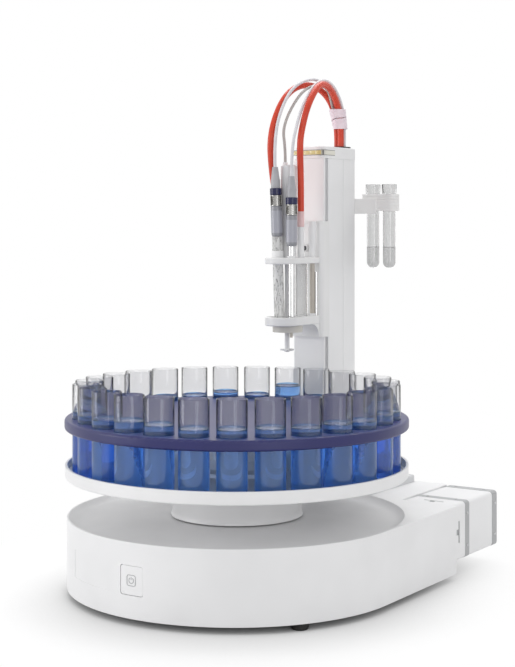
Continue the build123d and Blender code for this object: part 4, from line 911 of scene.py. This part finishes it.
# Grey inlays in the three grips of the pump's front cover, a bar and a stem each
grips = {
    "axis": (137.5, 47.2), "half": 30.0, "y": 116.1, "long": 22.8, "wide": 2.6, "stem": 5.4,
    "reach": 6.2, "deep": 0.9, "sunk": 0.15, "step": 0.2, "lap": 0.1, "edge": 0.3,
}
low, high = grips["half"] - grips["deep"], grips["half"] - grips["sunk"]
near, far = grips["y"] - grips["wide"] / 2, grips["y"] + grips["wide"] / 2
bar = blockPiece(
    "gripBar", (-grips["long"] / 2, near, low), (grips["long"] / 2, far, high), grips["edge"],
)
stem = blockPiece(
    "gripStem", (-grips["stem"] / 2, grips["y"] - grips["reach"], low),
    (grips["stem"] / 2, near + grips["lap"], high - grips["step"]), grips["edge"],
)
pattern = joined([bar, stem], "gripPattern")
axis = Matrix.Translation((grips["axis"][0] * mm, 0, grips["axis"][1] * mm))
inlays = []
for n in range(3):
    inlay = copyTo(pattern, "grip")
    inlay.data.transform(axis @ Matrix.Rotation(math.radians(90 * n), 4, "Y"))
    inlays.append(inlay)
bpy.data.objects.remove(pattern)
dress(joined(inlays, "pumpGrips"), "base", "grip")
print("stage: pump grips")

# Cuff round hoses and cables above the tower, in two bands with an open joint between
cuff = {
    "low": (-24.7, 194.85, 484.5), "lowSize": (14.3, 20.3), "high": (-26.0, 189.95, 507.5),
    "highSize": (17.2, 19.4), "corner": 4.2, "turn": 33.8, "sheet": 1.0, "edge": 0.25,
    "joint": 0.035, "slant": 0.09, "phase": 0.6, "arc": 9, "rows": 8,
}


def cuffOutline(share):
    wide = cuff["lowSize"][0] + (cuff["highSize"][0] - cuff["lowSize"][0]) * share
    deep = cuff["lowSize"][1] + (cuff["highSize"][1] - cuff["lowSize"][1]) * share
    spots = []
    for corner, (a, b) in enumerate(((1, 1), (-1, 1), (-1, -1), (1, -1))):
        centre = (a * (wide / 2 - cuff["corner"]), b * (deep / 2 - cuff["corner"]))
        spots += arcProfile(centre, cuff["corner"], 90 * corner, 90 * corner + 90, cuff["arc"])
    return spots


def cuffBand(name, start, end):
    around = 4 * (cuff["arc"] + 1)
    clearSelection()
    bpy.ops.mesh.primitive_grid_add(x_subdivisions=around, y_subdivisions=cuff["rows"], size=1)
    piece = named(name)
    turn = math.radians(cuff["turn"])
    for spot in piece.data.vertices:
        n = round((spot.co.x + 0.5) * around) % around
        lean = cuff["slant"] * math.cos(fullTurn * n / around + cuff["phase"])
        a = start + (lean + cuff["joint"] / 2 if start > 0 else 0)
        b = end + (lean - cuff["joint"] / 2 if end < 1 else 0)
        share = a + (b - a) * (spot.co.y + 0.5)
        x, y = cuffOutline(share)[n]
        middle = [low + (high - low) * share for low, high in zip(cuff["low"], cuff["high"])]
        spot.co = (
            (middle[0] + x * math.cos(turn) - y * math.sin(turn)) * mm,
            (middle[1] + x * math.sin(turn) + y * math.cos(turn)) * mm,
            middle[2] * mm,
        )
    closeUp(piece, gap=0.005)
    thicken(piece, cuff["sheet"])
    bevel = piece.modifiers.new("edges", "BEVEL")
    bevel.width = cuff["edge"] * mm
    bevel.segments = 2
    bevel.limit_method = "ANGLE"
    bpy.ops.object.modifier_apply(modifier="edges")
    bpy.ops.object.shade_smooth_by_angle(angle=math.radians(40))
    return piece


bands = [cuffBand("cuffLow", 0, 0.5), cuffBand("cuffHigh", 0.5, 1)]
dress(joined(bands, "hoseCuff"), "base", "wrap", ("cable_wrap",))
print("stage: cuff")

# Test tubes with what stands in them
testTubes = {
    "left": 4.5, "right": 26.1, "y": 221.2, "radius": 7.4, "wall": 0.9, "low": 321.4, "collar": 408.45,
    "rim": 8.7, "top": 419.8, "corner": 0.3, "taper": 407.5, "level": 345.6, "lap": 0.04,
    "curve": ((0, 0.9), (0.6, 0.3), (1.8, 0)), "steps": 48,
}
outer, low, half = testTubes["radius"], testTubes["low"], testTubes["wall"] / 2
inner, rim, collar = outer - testTubes["wall"], testTubes["rim"], testTubes["collar"]
corner = testTubes["corner"]
wall = arcProfile((0, low + outer), outer, -90, 0, 14)
wall += [(outer, collar), (rim - corner, collar), (rim, collar + corner)]
wall += arcProfile((rim - half, testTubes["top"] - half), half, 0, 180, 8)
wall += [(inner, testTubes["taper"])] + arcProfile((0, low + outer), inner, 0, -90, 14)
reach, level = inner + testTubes["lap"], testTubes["level"]
fill = arcProfile((0, low + outer), reach, -90, 0, 14)
fill += [(reach - away, level + rise) for away, rise in testTubes["curve"]] + [(0, level)]
glass = turnedPiece("testTubePattern", millimetres(wall), steps=testTubes["steps"])
liquid = turnedPiece("testLiquidPattern", millimetres(fill), steps=testTubes["steps"])
for side, body in (("left", "test_tube_a"), ("right", "test_tube_b")):
    spot = (testTubes[side] * mm, testTubes["y"] * mm, 0)
    piece = copyTo(glass, side + "TestTube", spot)
    dress(piece, body, "glass", ("test_tube_" + side,))
    dress(copyTo(liquid, side + "TestLiquid", spot), body, "buffer")
bpy.data.objects.remove(glass)
bpy.data.objects.remove(liquid)
print("stage: test tubes")

# Nodes whose form stays as it is
plain = {
    "base_sheet": "zinc", "case_screws": "steel", "ball_bearings": "steel", "drive_belt": "belt",
    "drive_motors": "black", "control_board": "board", "switch_and_sockets": "black",
    "guide_rods": "probe", "pump_tube": "silicone", "drive_pulley": "alu", "motor_pulley": "alu",
    "lift_screw": "steel", "slider_block": "alu", "lift_nut": "brass", "pump_rotor": "steel",
    "sensor_glass": "gel",
}
for node, finish in plain.items():
    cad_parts[node].data.materials.clear()
    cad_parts[node].data.materials.append(finishes[finish])
print("stage: inner pieces")

# Pale floor that keeps the object's shadow, darkens near the object with a painted shadow from ambient
# occlusion, and turns to plain white further out
room = {
    "floor": 40.0, "white": "#ffffff", "paper": "#e6e6e6", "seen": "#c2c2c2", "lift": 0.66, "paintedShadow": 0.15,
    "near": 0.16, "far": 0.35, "sky": "#cfcfcf", "level": 1.05,
}
clearSelection()
bpy.ops.mesh.primitive_plane_add(size=room["floor"], location=(0, 0, 0))
floor = bpy.context.object
floor.name = "studioFloor"


# Camera, polished faces and glass see the white, and everything else the lit paper
def seenRays(tree):
    path = addNode(tree, "ShaderNodeLightPath")
    seen = path.outputs["Is Camera Ray"]
    for kind in ("Is Glossy Ray", "Is Transmission Ray"):
        links = {0: seen, 1: path.outputs[kind]}
        seen = addNode(tree, "ShaderNodeMath", links=links, operation="MAXIMUM").outputs[0]
    return seen


paper = bpy.data.materials.new("floorPaper")
paper.use_nodes = True
tree = paper.node_tree
shader = tree.nodes["Principled BSDF"]
shader.inputs["Base Color"].default_value = linear(room["paper"])
shader.inputs["Roughness"].default_value = 0.9
shader.inputs["Specular IOR Level"].default_value = 0.0
# Ambient occlusion dims the floor's glow near the object: a painted shadow, added to the shadow the lamps
# cast
paintedShadow = addNode(
    tree, "ShaderNodeAmbientOcclusion", {"Color": linear(room["paper"]), "Distance": room["paintedShadow"]},
    samples=8,
)
paintedShadowGlow = addNode(tree, "ShaderNodeEmission", {"Strength": room["lift"]}, {"Color": paintedShadow.outputs["Color"]})
white = addNode(tree, "ShaderNodeEmission", {"Color": linear(room["white"]), "Strength": 1.0})
dull = addNode(tree, "ShaderNodeBsdfDiffuse", {"Color": linear(room["seen"])})
lifted = addNode(tree, "ShaderNodeAddShader", links={0: dull.outputs[0], 1: paintedShadowGlow.outputs[0]})
spot = addNode(tree, "ShaderNodeTexCoord").outputs["Object"]
centred = addNode(
    tree, "ShaderNodeVectorMath", {1: (turntable["x"], turntable["y"], 0)}, {0: spot}, operation="SUBTRACT",
)
reach = addNode(tree, "ShaderNodeVectorMath", links={0: centred.outputs[0]}, operation="LENGTH")
fade = addNode(
    tree, "ShaderNodeMapRange", {"From Min": room["near"], "From Max": room["far"]},
    {"Value": reach.outputs["Value"]}, interpolation_type="SMOOTHSTEP",
)
faded = addNode(
    tree, "ShaderNodeMixShader",
    links={0: fade.outputs["Result"], 1: lifted.outputs[0], 2: white.outputs[0]},
)
shown = addNode(
    tree, "ShaderNodeMixShader",
    links={0: seenRays(tree), 1: shader.outputs[0], 2: faded.outputs[0]},
)
tree.links.new(shown.outputs[0], tree.nodes["Material Output"].inputs["Surface"])
floor.data.materials.append(paper)

world = bpy.data.worlds.new("studio")
bpy.context.scene.world = world
world.use_nodes = True
tree = world.node_tree
ground = tree.nodes["Background"]
ground.inputs["Color"].default_value = linear(room["sky"])
ground.inputs["Strength"].default_value = room["level"]
bright = addNode(tree, "ShaderNodeBackground", {"Color": linear(room["white"]), "Strength": 1.0})
both = addNode(
    tree, "ShaderNodeMixShader", links={0: seenRays(tree), 1: ground.outputs[0], 2: bright.outputs[0]},
)
tree.links.new(both.outputs[0], tree.nodes["World Output"].inputs["Surface"])

# Two soft boxes and one from above
lamps = {
    "keyLamp": {"place": (-1.9, -1.7, 0.6), "aim": (0, 0, 0.15), "size": 1.1, "power": 16.5},
    "fillLamp": {"place": (2.0, -1.4, 0.55), "aim": (0, 0, 0.15), "size": 1.0, "power": 7.5},
    "topLamp": {"place": (-0.5, 0.8, 2.0), "aim": (0, 0, 0.1), "size": 1.5, "power": 23},
}
for name, lamp in lamps.items():
    spot = Vector(lamp["place"])
    bpy.ops.object.light_add(type="AREA", location=spot)
    light = bpy.context.object
    light.name = name
    light.rotation_euler = (Vector(lamp["aim"]) - spot).to_track_quat("-Z", "Y").to_euler()
    light.data.size = lamp["size"]
    light.data.energy = lamp["power"]
print("stage: floor and lamps")
